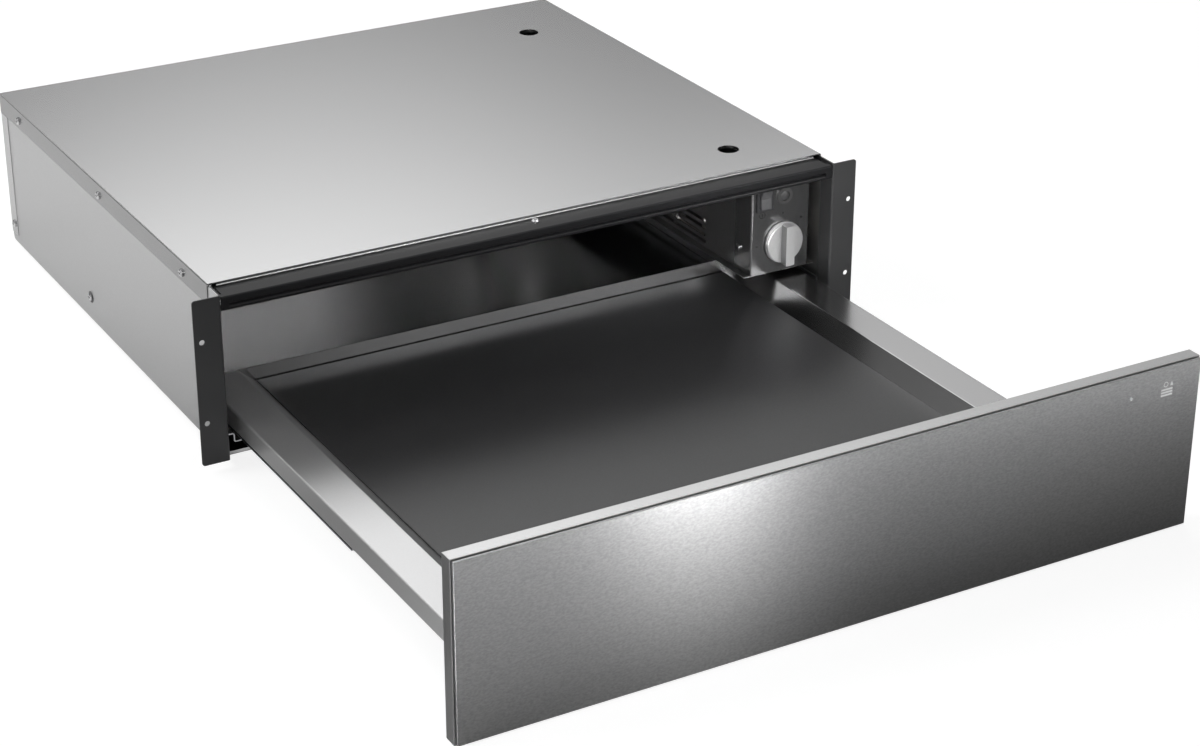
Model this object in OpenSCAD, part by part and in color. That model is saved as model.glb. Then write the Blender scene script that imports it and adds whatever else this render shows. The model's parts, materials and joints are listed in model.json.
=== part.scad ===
// Built-in warming drawer, shown with the drawer drawn out on its runners.
// X runs to the right seen from the front, Y to the back and Z up.
// The origin is the centre of the four fixing holes, on the front face of the flanges.
// Heights in the modules are counted from the underside of the case; lift() brings them to the origin.

/* [Front panel] */
// Width of the front panel
front_w = 594; // [570:1:600]
// Height of the front panel
front_h = 134.8; // [130:0.1:145]
// How far the front panel reaches below the case
front_drop = 5.1; // [3:0.1:8]
// Depth of the aluminium frame
frame_depth = 11; // [9:0.5:16]
// Wall of the aluminium frame
frame_wall = 1.5; // [1:0.1:2.5]
// Width of the frame's front lip, behind the steel sheet
frame_lip = 14; // [8:1:24]
// Depth of the steel sheet's folded edge
sheet_depth = 2.4; // [2:0.1:4]
// Thickness of the steel sheet and of the panel's back plate
sheet_t = 0.8; // [0.6:0.1:1.2]
// Step from the frame's outline in to the steel sheet's outline
sheet_inset = 0.9; // [0.5:0.1:2]
// Shadow gap between the frame and the steel sheet
sheet_gap = 0.8; // [0.5:0.1:2]
// Step from the steel sheet's outline in to the bonding pad
pad_inset = 4; // [2:0.5:10]
// Height of the back plate's folded edge
back_fold = 6; // [3:0.5:8]
// Diameter of the function light in the front
light_d = 2.4; // [1.5:0.1:4]
// Distance from the panel's right edge to the function light
light_side = 62.6; // [40:0.2:90]
// Distance from the panel's top edge down to the function light
light_drop = 18.1; // [12:0.1:30]
// Diameter of the buffers on the panel's back
buffer_d = 8; // [5:0.5:10]
// Distance from the panel's side edge to a buffer
buffer_side = 14; // [10:0.5:16]
// Distance from the panel's top and bottom edges to a buffer
buffer_edge = 20; // [14:0.5:30]

/* [Drawer travel] */
// Travel of the drawer from closed to the open pose shown
open_travel = 409.5; // [360:0.5:420]
// Gap between the closed panel and the flanges
closed_gap = 2.9; // [2:0.1:5]

/* [Case] */
// Outer width of the case
case_w = 547; // [530:1:550]
// Outer height of the case
case_h = 137.9; // [134:0.1:150]
// Depth of the case behind the front face of the flanges
case_d = 501.2; // [495:0.1:540]
// Thickness of the case sheet
case_t = 0.6; // [0.5:0.1:1]
// Distance from the flange face to the cover's front edge
cover_front = 21.5; // [18:0.5:24]
// Height of the cover's side and rear laps
cover_lap = 17.4; // [12:0.2:24]
// Corner notch beside the cover's front fold
cover_notch = 7.5; // [4:0.5:12]
// Reach of the foot turned forward below the cover's front fold
cover_foot = 1.4; // [1.2:0.1:2.5]
// Depth of the back panel's laps over the sides
back_lap = 17; // [12:0.5:24]
// Height of the back panel's laps above the underside
back_lap_low = 8; // [4:0.5:14]
// Radius of the side panels' rear bottom corner
side_corner_r = 5; // [2:0.5:12]
// Width of the side panels' top flange, which carries the cover
side_flange = 12; // [8:0.5:20]
// Distance from the flange face to the base plate's front edge
base_front = 8.5; // [4:0.5:14]
// Height of the base plate's side flanges
base_flange = 12; // [8:0.5:13]
// Height of the base plate's front lip
base_lip = 3; // [2:0.5:5]
// Diameter of the two vents in the cover
vent_d = 18; // [12:0.5:24]
// Distance from the case's right side to the vents
vent_side = 62; // [45:0.5:80]
// Distance from the flange face to the front vent
vent_front = 67.6; // [50:0.2:90]
// Distance from the flange face to the rear vent
vent_rear = 418.6; // [380:0.2:450]
// Height of the vents' turned-down rims
vent_rim = 2.6; // [1.5:0.1:5]

/* [Flanges and fixing holes] */
// Distance from the case's top down to the flanges' top
flange_drop = 1.8; // [1:0.1:4]
// Thickness of the flanges
flange_t = 1; // [0.8:0.1:1.5]
// Depth of the flanges' returns into the case
flange_return = 17.1; // [12:0.1:20]
// Radius of the flanges' outer corners
flange_corner_r = 2.5; // [1:0.1:5]
// Diameter of a fixing hole
fixing_d = 4.4; // [3.5:0.1:5.5]
// Distance from the inside of the case's side to a fixing hole
fixing_side = 15.8; // [12:0.1:18]
// Distance from a fixing hole to the flange's outer edge
fixing_edge = 6.1; // [5:0.1:8]
// Up and down spacing of the fixing holes
fixing_h = 66.8; // [50:0.2:90]
// Height of the lower fixing holes above the case's underside
fixing_low = 35; // [25:0.5:45]

/* [Front rail] */
// Distance from the case's top down to the rail's top
rail_drop = 3.3; // [2.5:0.1:6]
// Height of the rail's front
rail_h = 11.5; // [10:0.1:16]
// Thickness of the rail's sheet
rail_t = 1; // [0.8:0.1:1.4]
// Setback of the rail's front behind the flange face
rail_setback = 0.4; // [0.2:0.1:1]
// Height of the rail's lower lip
rail_lip = 2.6; // [2:0.1:3]
// Height of the groove above the lip
groove_h = 3.4; // [2.4:0.1:4]
// Depth of the groove
groove_depth = 3.6; // [2:0.1:5]
// Plain length at each end of the groove
groove_end = 6.5; // [4:0.5:12]
// Gap from the rail's top to the inside of the flange returns
rail_side_gap = 3.2; // [1:0.1:6]

/* [Controls] */
// Width of the control plate
control_w = 56.6; // [54:0.1:60]
// Distance from the case's right side to the control plate's right edge
control_side = 7.1; // [4:0.1:12]
// Distance from the flange face to the control plate
control_back = 25; // [23:0.5:35]
// Thickness of the control plate
control_t = 0.8; // [0.6:0.1:1.2]
// Depth of the control plate's side return
control_return = 25; // [18:0.5:30]
// Distance from the plate's left edge to the knob's axis
knob_x = 31.4; // [30:0.1:33]
// Height of the knob's axis, as a share of the plate's height
knob_z_share = 0.274; // [0.26:0.002:0.31]
// Diameter of the knob's disc
knob_d = 36; // [30:0.5:38]
// Thickness of the knob's disc
knob_t = 4.6; // [3:0.1:6]
// Gap between the knob and the plate
knob_gap = 0.6; // [0.4:0.1:1]
// Height of the knob's grip above its disc
grip_h = 7.6; // [5:0.1:9]
// Width of the knob's grip
grip_w = 8.4; // [6:0.1:12]
// Diameter of the thermostat's shaft
shaft_d = 6; // [5:0.1:7]
// Width of the switch's bezel
switch_w = 16; // [13:0.5:17]
// Height of the switch's bezel
switch_h = 24; // [20:0.5:26]
// Distance from the plate's left edge to the bezel
switch_x = 4.3; // [2:0.1:5]
// Height of the bezel's middle, as a share of the plate's height
switch_z_share = 0.729; // [0.7:0.001:0.78]
// Diameter of the lamp's bezel
lamp_d = 14.6; // [10:0.2:16]
// Distance from the plate's left edge to the lamp's axis
lamp_x = 31.7; // [30:0.1:36]
// Height of the lamp's axis, as a share of the plate's height
lamp_z_share = 0.712; // [0.68:0.001:0.78]

/* [Heater housing] */
// Height of the housing's floor above the case's underside
housing_low = 38.4; // [36:0.1:44]
// Width of the lip that the housing's floor shows beside the louvred wall
housing_lip = 5.4; // [3:0.1:8]
// Height of a louvre slot
slot_h = 3; // [2:0.1:4]
// Spacing of the louvre slots
slot_pitch = 6.3; // [5:0.1:8]
// Height of the lowest slot above the housing's floor
slot_low = 5.2; // [4:0.1:8]
// Distance from the flange face to the front end of the slots
slot_front = 97; // [80:1:110]
// Length of the louvre slots
slot_l = 160; // [100:5:180]
// Length of the fan's intake slots
intake_l = 70; // [40:2:80]
// Distance from the flange face to the fan's axis
fan_y = 350; // [330:1:380]
// Diameter of the fan's impeller, as a share of the housing's height
fan_d_share = 0.768; // [0.6:0.002:0.84]
// Width of the fan's impeller
fan_w = 14; // [10:0.5:16]
// Diameter of the heating element's tube
element_d = 6.5; // [5:0.1:8]
// Diameter of the hole for the mains inlet gland
gland_d = 16; // [12:0.5:20]

/* [Runners] */
// Length of a runner
runner_l = 450; // [430:1:460]
// Distance from the flange face to the closed runner's front end
runner_front = 12; // [8:0.5:16]
// Thickness of the runner sheet
runner_t = 1.2; // [1:0.1:1.4]
// Height of the case rail's floor above the case's underside
runner_low = 7.8; // [7:0.1:9]
// Diameter of the lower balls
low_ball_d = 3; // [2.4:0.1:3.2]
// Diameter of the upper balls
top_ball_d = 3.4; // [2.4:0.1:3.6]
// Clearance of a ball to its tracks
ball_clear = 0.3; // [0.2:0.05:0.5]
// Length of a ball cage
cage_l = 110; // [90:2:130]
// Balls in one row of a cage
cage_balls = 9; // [5:1:14]

/* [Drawer tray] */
// Outer width over the tray's side walls
tray_w = 523.4; // [515:0.2:526]
// Height of the side walls' top above the case's underside
tray_top = 33.2; // [32:0.1:35]
// Height of the side walls' lower outer edge above the case's underside
tray_skirt = 17.1; // [16:0.1:19]
// Width of a side wall's top face
tray_rim = 30.9; // [28:0.1:34]
// Width of the slope from the rim down to the mat
tray_slope = 12.5; // [8:0.1:16]
// Height of the mat's surface above the case's underside
mat_top = 21.7; // [20.6:0.1:22.4]
// Thickness of the mat
mat_t = 1.5; // [1:0.1:1.8]
// Thickness of the tray sheet
tray_t = 0.8; // [0.6:0.1:1]
// Distance from the closed panel's back to the inside of the tray's rear wall
tray_l = 491.4; // [480:0.2:493]

/* [Push latch] */
// Width of the latch
latch_w = 28; // [20:1:40]
// Length of the latch's body
latch_l = 26; // [18:1:30]
// Height of the latch's body
latch_h = 14; // [10:0.5:16]
// Diameter of the plunger
plunger_d = 6; // [4:0.5:8]
// Stroke of the plunger
plunger_stroke = 4; // [2:0.5:6]

/* [Fasteners] */
// Head diameter of the case screws
screw_head_d = 6.6; // [5:0.1:8]
// Head height of the case screws
screw_head_h = 2; // [1.2:0.1:3]
// Shank diameter of the case screws
screw_d = 3.5; // [2.5:0.1:4]

/* [Hidden] */

$fn = 48;

// One overrun for every cut
cut = 0.5;
// Clearance between pieces that only lie beside each other
free_gap = 0.3;
// Gap round a piece in a moulded or folded seat
seat_gap = 0.1;
// Clearance on a shaft's or a plunger's diameter, and on the diameter of a press fit
shaft_clear = 0.12;
press_clear = 0.04;
// Ways left and right of the centre line
LEFT = -1;
RIGHT = 1;
// Steps in each bend of a folded sheet
bend_steps = 4;

// Front panel
panel_back = -(open_travel + closed_gap);
panel_front = panel_back - frame_depth;
panel_low = -front_drop;
panel_high = panel_low + front_h;
sheet_front = panel_front - sheet_gap - sheet_depth;
sheet_half = front_w / 2 - sheet_inset;
light_body_d = 2 * light_d;

// Case sheets, from the outside in
cover_half = case_w / 2;
side_out = cover_half - case_t;
side_in = side_out - case_t;
back_out = case_d - case_t;
back_in = back_out - case_t;
cover_under = case_h - case_t;
fold_half = cover_half - cover_notch;

// Flanges
fixing_w = 2 * (side_in + fixing_side);
flange_out = fixing_w / 2 + fixing_edge;
flange_low = free_gap;
flange_high = case_h - flange_drop;
flange_in = side_in - flange_t;
fixing_mid = fixing_low + fixing_h / 2;

// Front rail
rail_top = case_h - rail_drop;
rail_low = rail_top - rail_h;
rail_half = flange_in - rail_side_gap;
rail_depth = cover_front - rail_setback;

// Control plate and housing
control_right = side_in - control_side;
control_left = control_right - control_w;
control_low = housing_low;
control_high = rail_top - rail_t - free_gap;
wall_x = control_left + control_t;
housing_back = back_in - free_gap;
control_h = control_high - control_low;
knob_axis = [control_left + knob_x, control_low + knob_z_share * control_h];
lamp_axis = [control_left + lamp_x, control_low + lamp_z_share * control_h];
switch_mid = [control_left + switch_x + switch_w / 2, control_low + switch_z_share * control_h];
knob_back = control_back - knob_gap;
knob_face = knob_back - knob_t;
grip_face = knob_face - grip_h;
// Tab terminals of the electrical pieces
tab_t = 0.8;
tab_w = 6;
tab_l = 7;
// Thermostat, with its threaded bushing
bushing_d = 9.4;
thermostat_w = 34;
thermostat_h = 30;
thermostat_l = 24;
// Knob: closed end over the shaft, steps of its edge, and the notch at the top of its grip
knob_skin = 1;
knob_step = 0.8;
notch_w = 2;
// Height of the lamp's and the switch's bezels above the plate
bezel_t = 2;
// Lamp: neck and lens
lamp_neck_share = 0.72;
lamp_neck_d = lamp_d * lamp_neck_share;
lamp_wall = 0.8;
lamp_l = 20;
lens_seat = 4;
lens_h = 6.4;
// The lens dome's outline, as shares of its radius and height
lens_dome_shares = [[1, 0.8], [0.94, 0.88], [0.8, 0.94], [0.45, 0.985]];
// Switch: width of its bezel, wall and depth of its well, length of its body
bezel_w = 2;
bezel_wall = 0.6;
switch_well = 8;
switch_l = 22;
// Rocker: tilt to each side of its middle, depth of its axis and shape
rocker_tilt = 7;
rocker_axis = 2;
rocker_gap = 0.4;
rocker_proud = 3;
rocker_rise = 1;
rocker_root = 5;
rocker_root_share = 0.35;
rocker_pin_d = 2;
switch_neck_w = switch_w - 2 * (bezel_w + seat_gap);
// Fan: bracket, motor and impeller
fan_z = (housing_low + cover_under) / 2;
fan_d = fan_d_share * (cover_under - housing_low);
fan_gap = 7;
fan_x = wall_x + case_t + fan_gap;
fan_disc_t = 1.2;
fan_hub_d = 16;
fan_hub_h = 2;
fan_blades = 9;
fan_blade_t = 1.2;
fan_ring_share = 0.62;
fan_shaft_d = 4;
bracket_t = 1.2;
bracket_w = 28;
bracket_h = 12;
bracket_foot = 14;
motor_w = 40;
motor_h = 46;
motor_t = 9;
motor_cap_d = 16;
motor_cap_h = 6;
motor_neck_d = 9.4;
motor_x = side_in - bracket_h - bracket_t / 2;
// Heating element and its clips
element_gap = 2;
element_x = wall_x + case_t + element_d + element_gap;
element_low = housing_low + slot_low;
element_span = 3 * slot_pitch;
element_front = slot_front + 24;
element_back = slot_front + slot_l + 20;
element_end = 12;
element_pin = 10;
element_neck_share = 0.8;
element_pin_share = 0.4;
clip_t = 1;
clip_w = 5;
clip_edge = 1.6;
// Thermal cut-out
cutout_d = 15;
cutout_h = 8;
cutout_plate_l = 24;
cutout_y = element_back + 18;
// Terminal block
poles = 3;
pole_pitch = 11;
pole_depth = 22;
pole_base = 9;
pole_h = 17;
pole_gap = 1.2;
pole_bore = 4.4;
block_back = 40;
// Mains inlet gland
gland_nut_h = 7;
gland_rim = 3;
gland_collar_h = 3;
gland_cap_h = 7;
gland_bore_share = 0.56;

// Runners: distances called u run inwards from the inside of the case's side
tray_half = tray_w / 2;
skirt_u = side_in - tray_half;
skirt_clear = 0.6;
mid_w = 20.8;
ledge_h = 7.6;
screw_rise = 5.8;
rail_lip_w = 5;
foot_inset = 4;
rail_wall_u = skirt_u - skirt_clear - runner_t / 2;
mid_edge_u = skirt_u + tray_t + skirt_clear + seat_gap;
rail_inner_u = mid_edge_u + mid_w + skirt_clear + runner_t / 2;
mid_low = runner_low + runner_t + low_ball_d + 2 * ball_clear;
mid_flange_top = mid_low + runner_t;
drawer_web = tray_top - tray_t - runner_t;
mid_top = drawer_web - top_ball_d - 2 * ball_clear;
mid_web_u = mid_edge_u + mid_w / 2;
hook_clear = 1;
hook_w = 4.6;
hook_drop = 0.8;
low_row_inset = 2;
runner_back = runner_front + runner_l;
mid_shift = open_travel / 2;
cage_setback = 18;
cage_stagger = 4.5;
lower_cage_front = runner_front + cage_setback;
upper_cage_front = lower_cage_front - mid_shift - cage_stagger;
mid_top_w = 14.6;
top_row_inset = 2;
cage_t = 0.8;
ledge_z = runner_low + ledge_h;
screw_z = ledge_z + screw_rise;

// Tray
rear_y = panel_back + tray_l;
rim_u = skirt_u + tray_rim;
foot_u = rim_u + tray_slope;
slope_per_drop = tray_slope / (tray_top - mat_top);
floor_top = mat_top - mat_t;
floor_low = floor_top - tray_t;
wall_foot_u = foot_u + (mat_top - floor_low + tray_t / 2) * slope_per_drop;
wall_flange = 14;
rear_flange = 18;
rear_foot_w = 7.3;
rear_ear_w = 4;
mat_gap = 1.4;
floor_half = side_in - wall_foot_u - tray_t;
mat_half = side_in - wall_foot_u + tray_t / 2;

// Push latch
latch_gap = 4;
latch_ear = 9;
latch_ear_t = 2.4;
latch_ear_inset = 4;
latch_end_wall = 5;
latch_back = back_in - latch_gap;
latch_front = latch_back - latch_l;
latch_screw_x = (latch_w + latch_ear) / 2;
latch_screw_y = (latch_front + latch_back) / 2;
plunger_nose = 2;
plunger_l = 17;
plunger_z = case_t + latch_h / 2;
plunger_tip = latch_front - plunger_stroke - plunger_nose;
striker_w = 24;
striker_l = 18;
striker_t = 1.2;
striker_reach = 4;
striker_back = plunger_tip - free_gap - open_travel;

// Heights counted from the underside of the case, brought to the origin
module lift() {
    translate([0, 0, -fixing_mid]) children();
}

// A profile drawn as [y, z], run along X from one place to another
module along_x(from, to) {
    translate([from, 0, 0]) rotate([90, 0, 90]) linear_extrude(to - from) children();
}

// A profile drawn as [x, z], run along Y from one place to another
module along_y(from, to) {
    translate([0, to, 0]) rotate([90, 0, 0]) linear_extrude(to - from) children();
}

// A profile drawn as [x, y], run up from one height to another
module along_z(from, to) {
    translate([0, 0, from]) linear_extrude(to - from) children();
}

// A box between two corners
module block(low, high) {
    translate(low) cube(high - low);
}

// A box along Y, its middle on the axis
module box_y(w, h, from, to) {
    block([-w / 2, from, -h / 2], [w / 2, to, h / 2]);
}

// A tab terminal standing up along X or Z, that runs back along Y
module tab_x(y) {
    box_y(tab_w, tab_t, y - cut, y + tab_l);
}
module tab_z(y) {
    box_y(tab_t, tab_w, y - cut, y + tab_l);
}

// A round bar along each axis
module bar_x(d, from, to) {
    translate([from, 0, 0]) rotate([0, 90, 0]) cylinder(d = d, h = to - from);
}
module bar_y(d, from, to) {
    translate([0, to, 0]) rotate([90, 0, 0]) cylinder(d = d, h = to - from);
}
module bar_z(d, from, to) {
    translate([0, 0, from]) cylinder(d = d, h = to - from);
}

// The piece as drawn on the left, or mirrored to the right
module on_side(side) {
    if (side == LEFT) children();
    else mirror([1, 0, 0]) children();
}

function unit(v) = v / norm(v);
function turned(v) = [-v.y, v.x];
function at(centre, r, angle) = centre + r * [cos(angle), sin(angle)];
function short_turn(angle) = angle > 180 ? angle - 360 : angle < -180 ? angle + 360 : angle;

// Points of the arc that rounds the corner b of the path a, b, c
function corner_arc(a, b, c, r) =
    let (
        u = unit(a - b),
        w = unit(c - b),
        half = acos(u * w) / 2,
        centre = b + unit(u + w) * r / sin(half),
        first = b + u * r / tan(half) - centre,
        last = b + w * r / tan(half) - centre,
        start = atan2(first.y, first.x),
        sweep = short_turn(atan2(last.y, last.x) - start)
    )
    [for (i = [0:bend_steps]) at(centre, r, start + sweep * i / bend_steps)];

// A path with every inner corner rounded
function bent(path, r) = concat(
    [path[0]],
    [for (i = [1:len(path) - 2]) each corner_arc(path[i - 1], path[i], path[i + 1], r)],
    [path[len(path) - 1]]
);

// The path moved sideways by d, with mitred corners
function beside(path, d) = [
    for (i = [0:len(path) - 1])
        let (
            before = unit(path[max(i, 1)] - path[max(i, 1) - 1]),
            after = unit(path[min(i + 1, len(path) - 1)] - path[min(i + 1, len(path) - 1) - 1]),
            n = turned(unit(before + after))
        )
        path[i] + n * d / (n * turned(after))
];

function backwards(list) = [for (i = [len(list) - 1:-1:0]) list[i]];

// The section of a sheet of thickness t, folded along a path of its middle
module folded(path, t, r = 0) {
    bend_r = r == 0 ? 1.5 * t : r;
    mid = bent(path, bend_r);
    polygon(concat(beside(mid, t / 2), backwards(beside(mid, -t / 2))));
}

// A straight sheet section between two points of its middle
module straight(a, b, t) {
    side = turned(unit(b - a)) * t / 2;
    polygon([a + side, b + side, b - side, a - side]);
}

// A pan-head screw along -X, its head's seat at the origin and its shank along +X
module screw_x(l) {
    bar_x(screw_d, -cut / 2, l);
    rotate([0, -90, 0]) rotate_extrude() polygon([
        [0, 0], [screw_head_d / 2, 0], [screw_head_d / 2, screw_head_h / 2],
        [screw_head_d / 3, screw_head_h], [0, screw_head_h]
    ]);
}

// Base plate with side flanges and a front lip
module base_plate() {
    mid = case_t / 2;
    wall = side_in - mid;
    lift() color("silver") difference() {
        union() {
            along_y(base_front, back_in)
                folded([[-wall, base_flange], [-wall, mid], [wall, mid], [wall, base_flange]], case_t);
            along_x(-wall + case_t, wall - case_t) folded([
                [base_front + mid, base_lip], [base_front + mid, mid], [base_front + 4 * base_lip, mid]
            ], case_t);
        }
        for (s = [-1, 1]) translate([s * wall, 0, 0])
            block([-flange_t, base_front - cut, -cut],
                [flange_t, flange_return + free_gap, base_flange + cut]);
    }
}

// Side panel with an inward top flange that carries the cover
module side_panel(side) {
    mid = side_out - case_t / 2;
    top = cover_under - case_t / 2;
    front = 2 * flange_t + free_gap;
    back = back_in - case_t;
    lift() on_side(side) color("silver") difference() {
        union() {
            along_y(front, back) straight([-mid, 0], [-mid, top - case_t], case_t);
            along_y(cover_front + case_t + free_gap, back) folded([
                [-mid, base_flange], [-mid, top], [-mid + side_flange, top]
            ], case_t);
        }
        block([-side_out - cut, front - cut, flange_high], [-side_in + cut, cover_front, case_h]);
        along_x(-side_out - cut, -side_in + cut) difference() {
            translate([back - side_corner_r, -cut]) square([side_corner_r + cut, side_corner_r + cut]);
            translate([back - side_corner_r, side_corner_r]) circle(r = side_corner_r);
        }
        for (y = cover_screw_places())
            translate([0, y, cover_screw_z()]) bar_x(screw_d, -side_out - cut, -side_in + cut);
        translate([0, runner_screw_y(), screw_z]) bar_x(screw_d, -side_out - cut, -side_in + cut);
        translate([0, back_screw_y(), back_screw_z()]) bar_x(screw_d, -side_out - cut, -side_in + cut);
    }
}

// Places of the screws, as shares of the cover's depth, of the laps and of the runner's length
cover_screw_shares = [0.106, 0.482, 0.895];
lap_screw_share = 0.58;
back_screw_share = 0.62;
runner_screw_share = 0.63;
function cover_screw_places() = [
    for (share = cover_screw_shares) cover_front + share * (case_d - cover_front)
];
function cover_screw_z() = case_h - lap_screw_share * cover_lap;
function back_screw_y() = case_d - back_screw_share * back_lap;
function back_screw_z() = back_lap_low + back_lap * lap_screw_share;
function runner_screw_y() = runner_front + runner_screw_share * runner_l;

// Back panel with laps round the side panels, cooling slots and the inlet hole
module back_panel() {
    mid = back_out - case_t / 2;
    lap = side_out + case_t / 2;
    slots = 6;
    slot_gap = (control_w - 2 * slot_h) / slots;
    lift() color("silver") difference() {
        union() {
            block([-side_in, back_in, 0], [side_in, back_out, cover_under - free_gap]);
            along_z(back_lap_low, case_h - cover_lap - free_gap) folded([
                [-lap, case_d - back_lap], [-lap, mid], [lap, mid], [lap, case_d - back_lap]
            ], case_t);
        }
        translate([gland_x(), 0, gland_z()]) bar_y(gland_d, back_in - cut, back_out + cut);
        for (i = [0:slots - 1])
            translate([control_left + slot_h + i * slot_gap, 0, 0])
                along_y(back_in - cut, back_out + cut) slot_shape(slot_h, housing_low + slot_low, fan_z);
        for (s = [-1, 1])
            translate([0, back_screw_y(), back_screw_z()])
                bar_x(screw_d, s * lap - case_t, s * lap + case_t);
    }
}

function gland_x() = (control_left + side_in) / 2;
function gland_z() = case_h - cover_lap - gland_d / 2 - gland_rim - 2 * free_gap;

// An upright slot with round ends, from one height to another, its left edge at zero
module slot_shape(w, low, high) {
    translate([0, low + w / 2]) square([w, high - low - w]);
    for (z = [low + w / 2, high - w / 2]) translate([w / 2, z]) circle(d = w);
}

// Top cover: side and rear laps, a low front fold with a turned foot, and two vents with rims
module top_cover() {
    mid = cover_half - case_t / 2;
    top = case_h - case_t / 2;
    front = cover_front + case_t / 2;
    back = case_d - case_t / 2;
    low = case_h - cover_lap;
    foot = rail_top + free_gap + case_t / 2;
    vent_x = cover_half - vent_side;
    lift() color("lightgray") difference() {
        union() {
            along_y(cover_front, case_d - case_t)
                folded([[-mid, low], [-mid, top], [mid, top], [mid, low]], case_t);
            along_x(-cover_half + 2 * case_t, cover_half - 2 * case_t)
                folded([[case_d - cover_lap, top], [back, top], [back, low]], case_t);
            along_x(-fold_half, fold_half) folded([
                [cover_front + cover_lap, top], [front, top], [front, foot], [front - cover_foot, foot]
            ], case_t, case_t);
            for (y = [vent_front, vent_rear])
                translate([vent_x, y, 0]) bar_z(vent_d + 2 * case_t, case_h - vent_rim, case_h - case_t / 2);
        }
        for (y = [vent_front, vent_rear])
            translate([vent_x, y, 0]) bar_z(vent_d, case_h - vent_rim - cut, case_h + cut);
        for (y = cover_screw_places(), s = [-1, 1])
            translate([0, y, cover_screw_z()]) bar_x(screw_d, s * mid - case_t, s * mid + case_t);
    }
}

// Fixing flange with its return into the case
module flange(side) {
    mid = flange_t / 2;
    lift() on_side(side) color("dimgray") difference() {
        along_z(flange_low, flange_high) folded([
            [-flange_out, mid], [-side_in + mid, mid], [-side_in + mid, flange_return]
        ], flange_t);
        for (z = [fixing_mid - fixing_h / 2, fixing_mid + fixing_h / 2])
            translate([-fixing_w / 2, 0, z]) bar_y(fixing_d, -cut, flange_t + cut);
        along_y(-cut, flange_t + cut) for (end = [[flange_low, -1], [flange_high, 1]])
            translate([-flange_out, end[0]]) difference() {
                translate([-cut, end[1] > 0 ? -flange_corner_r : -cut])
                    square([flange_corner_r + cut, flange_corner_r + cut]);
                translate([flange_corner_r, -end[1] * flange_corner_r]) circle(r = flange_corner_r);
            }
    }
}

// Front rail: a folded section with a pressed groove that stops short of both ends
module front_rail() {
    mid = rail_t / 2;
    front = rail_setback + mid;
    top = rail_top - mid;
    low = rail_low + mid;
    lip_top = rail_low + rail_lip;
    groove_mid = lip_top + groove_h / 2;
    back = cover_front + side_flange;
    end_x = flange_in - free_gap;
    plain = [[back, top], [front, top], [front, low], [rail_depth / 2, low]];
    grooved = [
        [back, top], [front, top], [front, lip_top + groove_h], [front + groove_depth, groove_mid],
        [front, lip_top], [front, low], [rail_depth / 2, low]
    ];
    lift() color("dimgray") difference() {
        union() {
            along_x(-end_x + groove_end, end_x - groove_end) folded(grooved, rail_t, rail_t * 0.8);
            for (s = [[-end_x, -end_x + groove_end], [end_x - groove_end, end_x]])
                along_x(s[0], s[1]) folded(plain, rail_t, rail_t * 0.8);
        }
        for (s = [-1, 1]) translate([s * (rail_half + rail_side_gap), 0, 0])
            block([-rail_side_gap, 2 * rail_side_gap, top - rail_t],
                [rail_side_gap, back + cut, rail_top + cut]);
        translate([0, cover_front - screw_head_d, 0]) bar_z(screw_d, top - rail_t, rail_top + cut);
    }
}

// Screws of the cover and the back panel, in both sides, and the front rail's screw
module case_screws() {
    lift() color("silver") {
        for (side = [LEFT, RIGHT]) on_side(side) translate([-cover_half, 0, 0]) {
            for (y = cover_screw_places()) translate([0, y, cover_screw_z()]) screw_x(screw_head_d);
            translate([0, back_screw_y(), back_screw_z()]) screw_x(screw_head_d);
        }
        translate([0, cover_front - screw_head_d, rail_top]) rotate([0, 90, 0]) screw_x(screw_head_d);
    }
}

// Screws that hold the runners to the case's sides
module runner_screws() {
    lift() color("silver") for (side = [LEFT, RIGHT])
        on_side(side) translate([-side_out, runner_screw_y(), screw_z]) screw_x(screw_head_d);
}

// Case rail of a runner: hung on the case's side, with a track under the tray's hollow wall
module case_rail(side) {
    mid = runner_t / 2;
    floor_z = runner_low + mid;
    lip_z = mid_flange_top + ball_clear + mid;
    path = [
        [mid, screw_z + screw_head_d], [mid, ledge_z], [rail_wall_u, ledge_z], [rail_wall_u, floor_z],
        [rail_inner_u, floor_z], [rail_inner_u, lip_z], [rail_inner_u - rail_lip_w, lip_z]
    ];
    lift() on_side(side) color("gainsboro") difference() {
        along_y(runner_front, runner_back)
            folded([for (p = path) [-side_in + p[0], p[1]]], runner_t, runner_t);
        translate([0, runner_screw_y(), screw_z]) bar_x(screw_d, -side_in - cut, -side_in + runner_t + cut);
        block([-side_in - cut, runner_front - cut, 0],
            [-side_in + 2 * runner_t, flange_return + free_gap, screw_z + 2 * screw_head_d]);
    }
}

// Channel between the case rail and the base plate
module rail_foot(side) {
    mid = runner_t / 2;
    low = case_t + mid;
    high = runner_low - mid;
    reach = rail_inner_u - foot_inset;
    path = [[mid_web_u, low], [reach, low], [reach, high], [mid_web_u, high]];
    lift() on_side(side) color("gainsboro")
        along_y(runner_front + runner_t, runner_back - runner_t)
            folded([for (p = path) [-side_in + p[0], p[1]]], runner_t, runner_t);
}

// Middle rail of a runner: a beam that rolls in the case rail and carries the drawer rail
module middle_rail(side) {
    web = mid_web_u - runner_t / 2;
    top_half = mid_top_w / 2;
    inner = mid_edge_u + mid_w;
    front = runner_front - mid_shift;
    lift() on_side(side) color("gainsboro") translate([-side_in, 0, 0])
        along_y(front, front + runner_l) polygon([
            [mid_edge_u, mid_low], [inner, mid_low], [inner, mid_flange_top],
            [web + runner_t, mid_flange_top], [web + runner_t, mid_top - runner_t],
            [mid_web_u + top_half, mid_top - runner_t], [mid_web_u + top_half, mid_top],
            [mid_web_u - top_half, mid_top], [mid_web_u - top_half, mid_top - runner_t],
            [web, mid_top - runner_t], [web, mid_flange_top], [mid_edge_u, mid_flange_top]
        ]);
}

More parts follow.
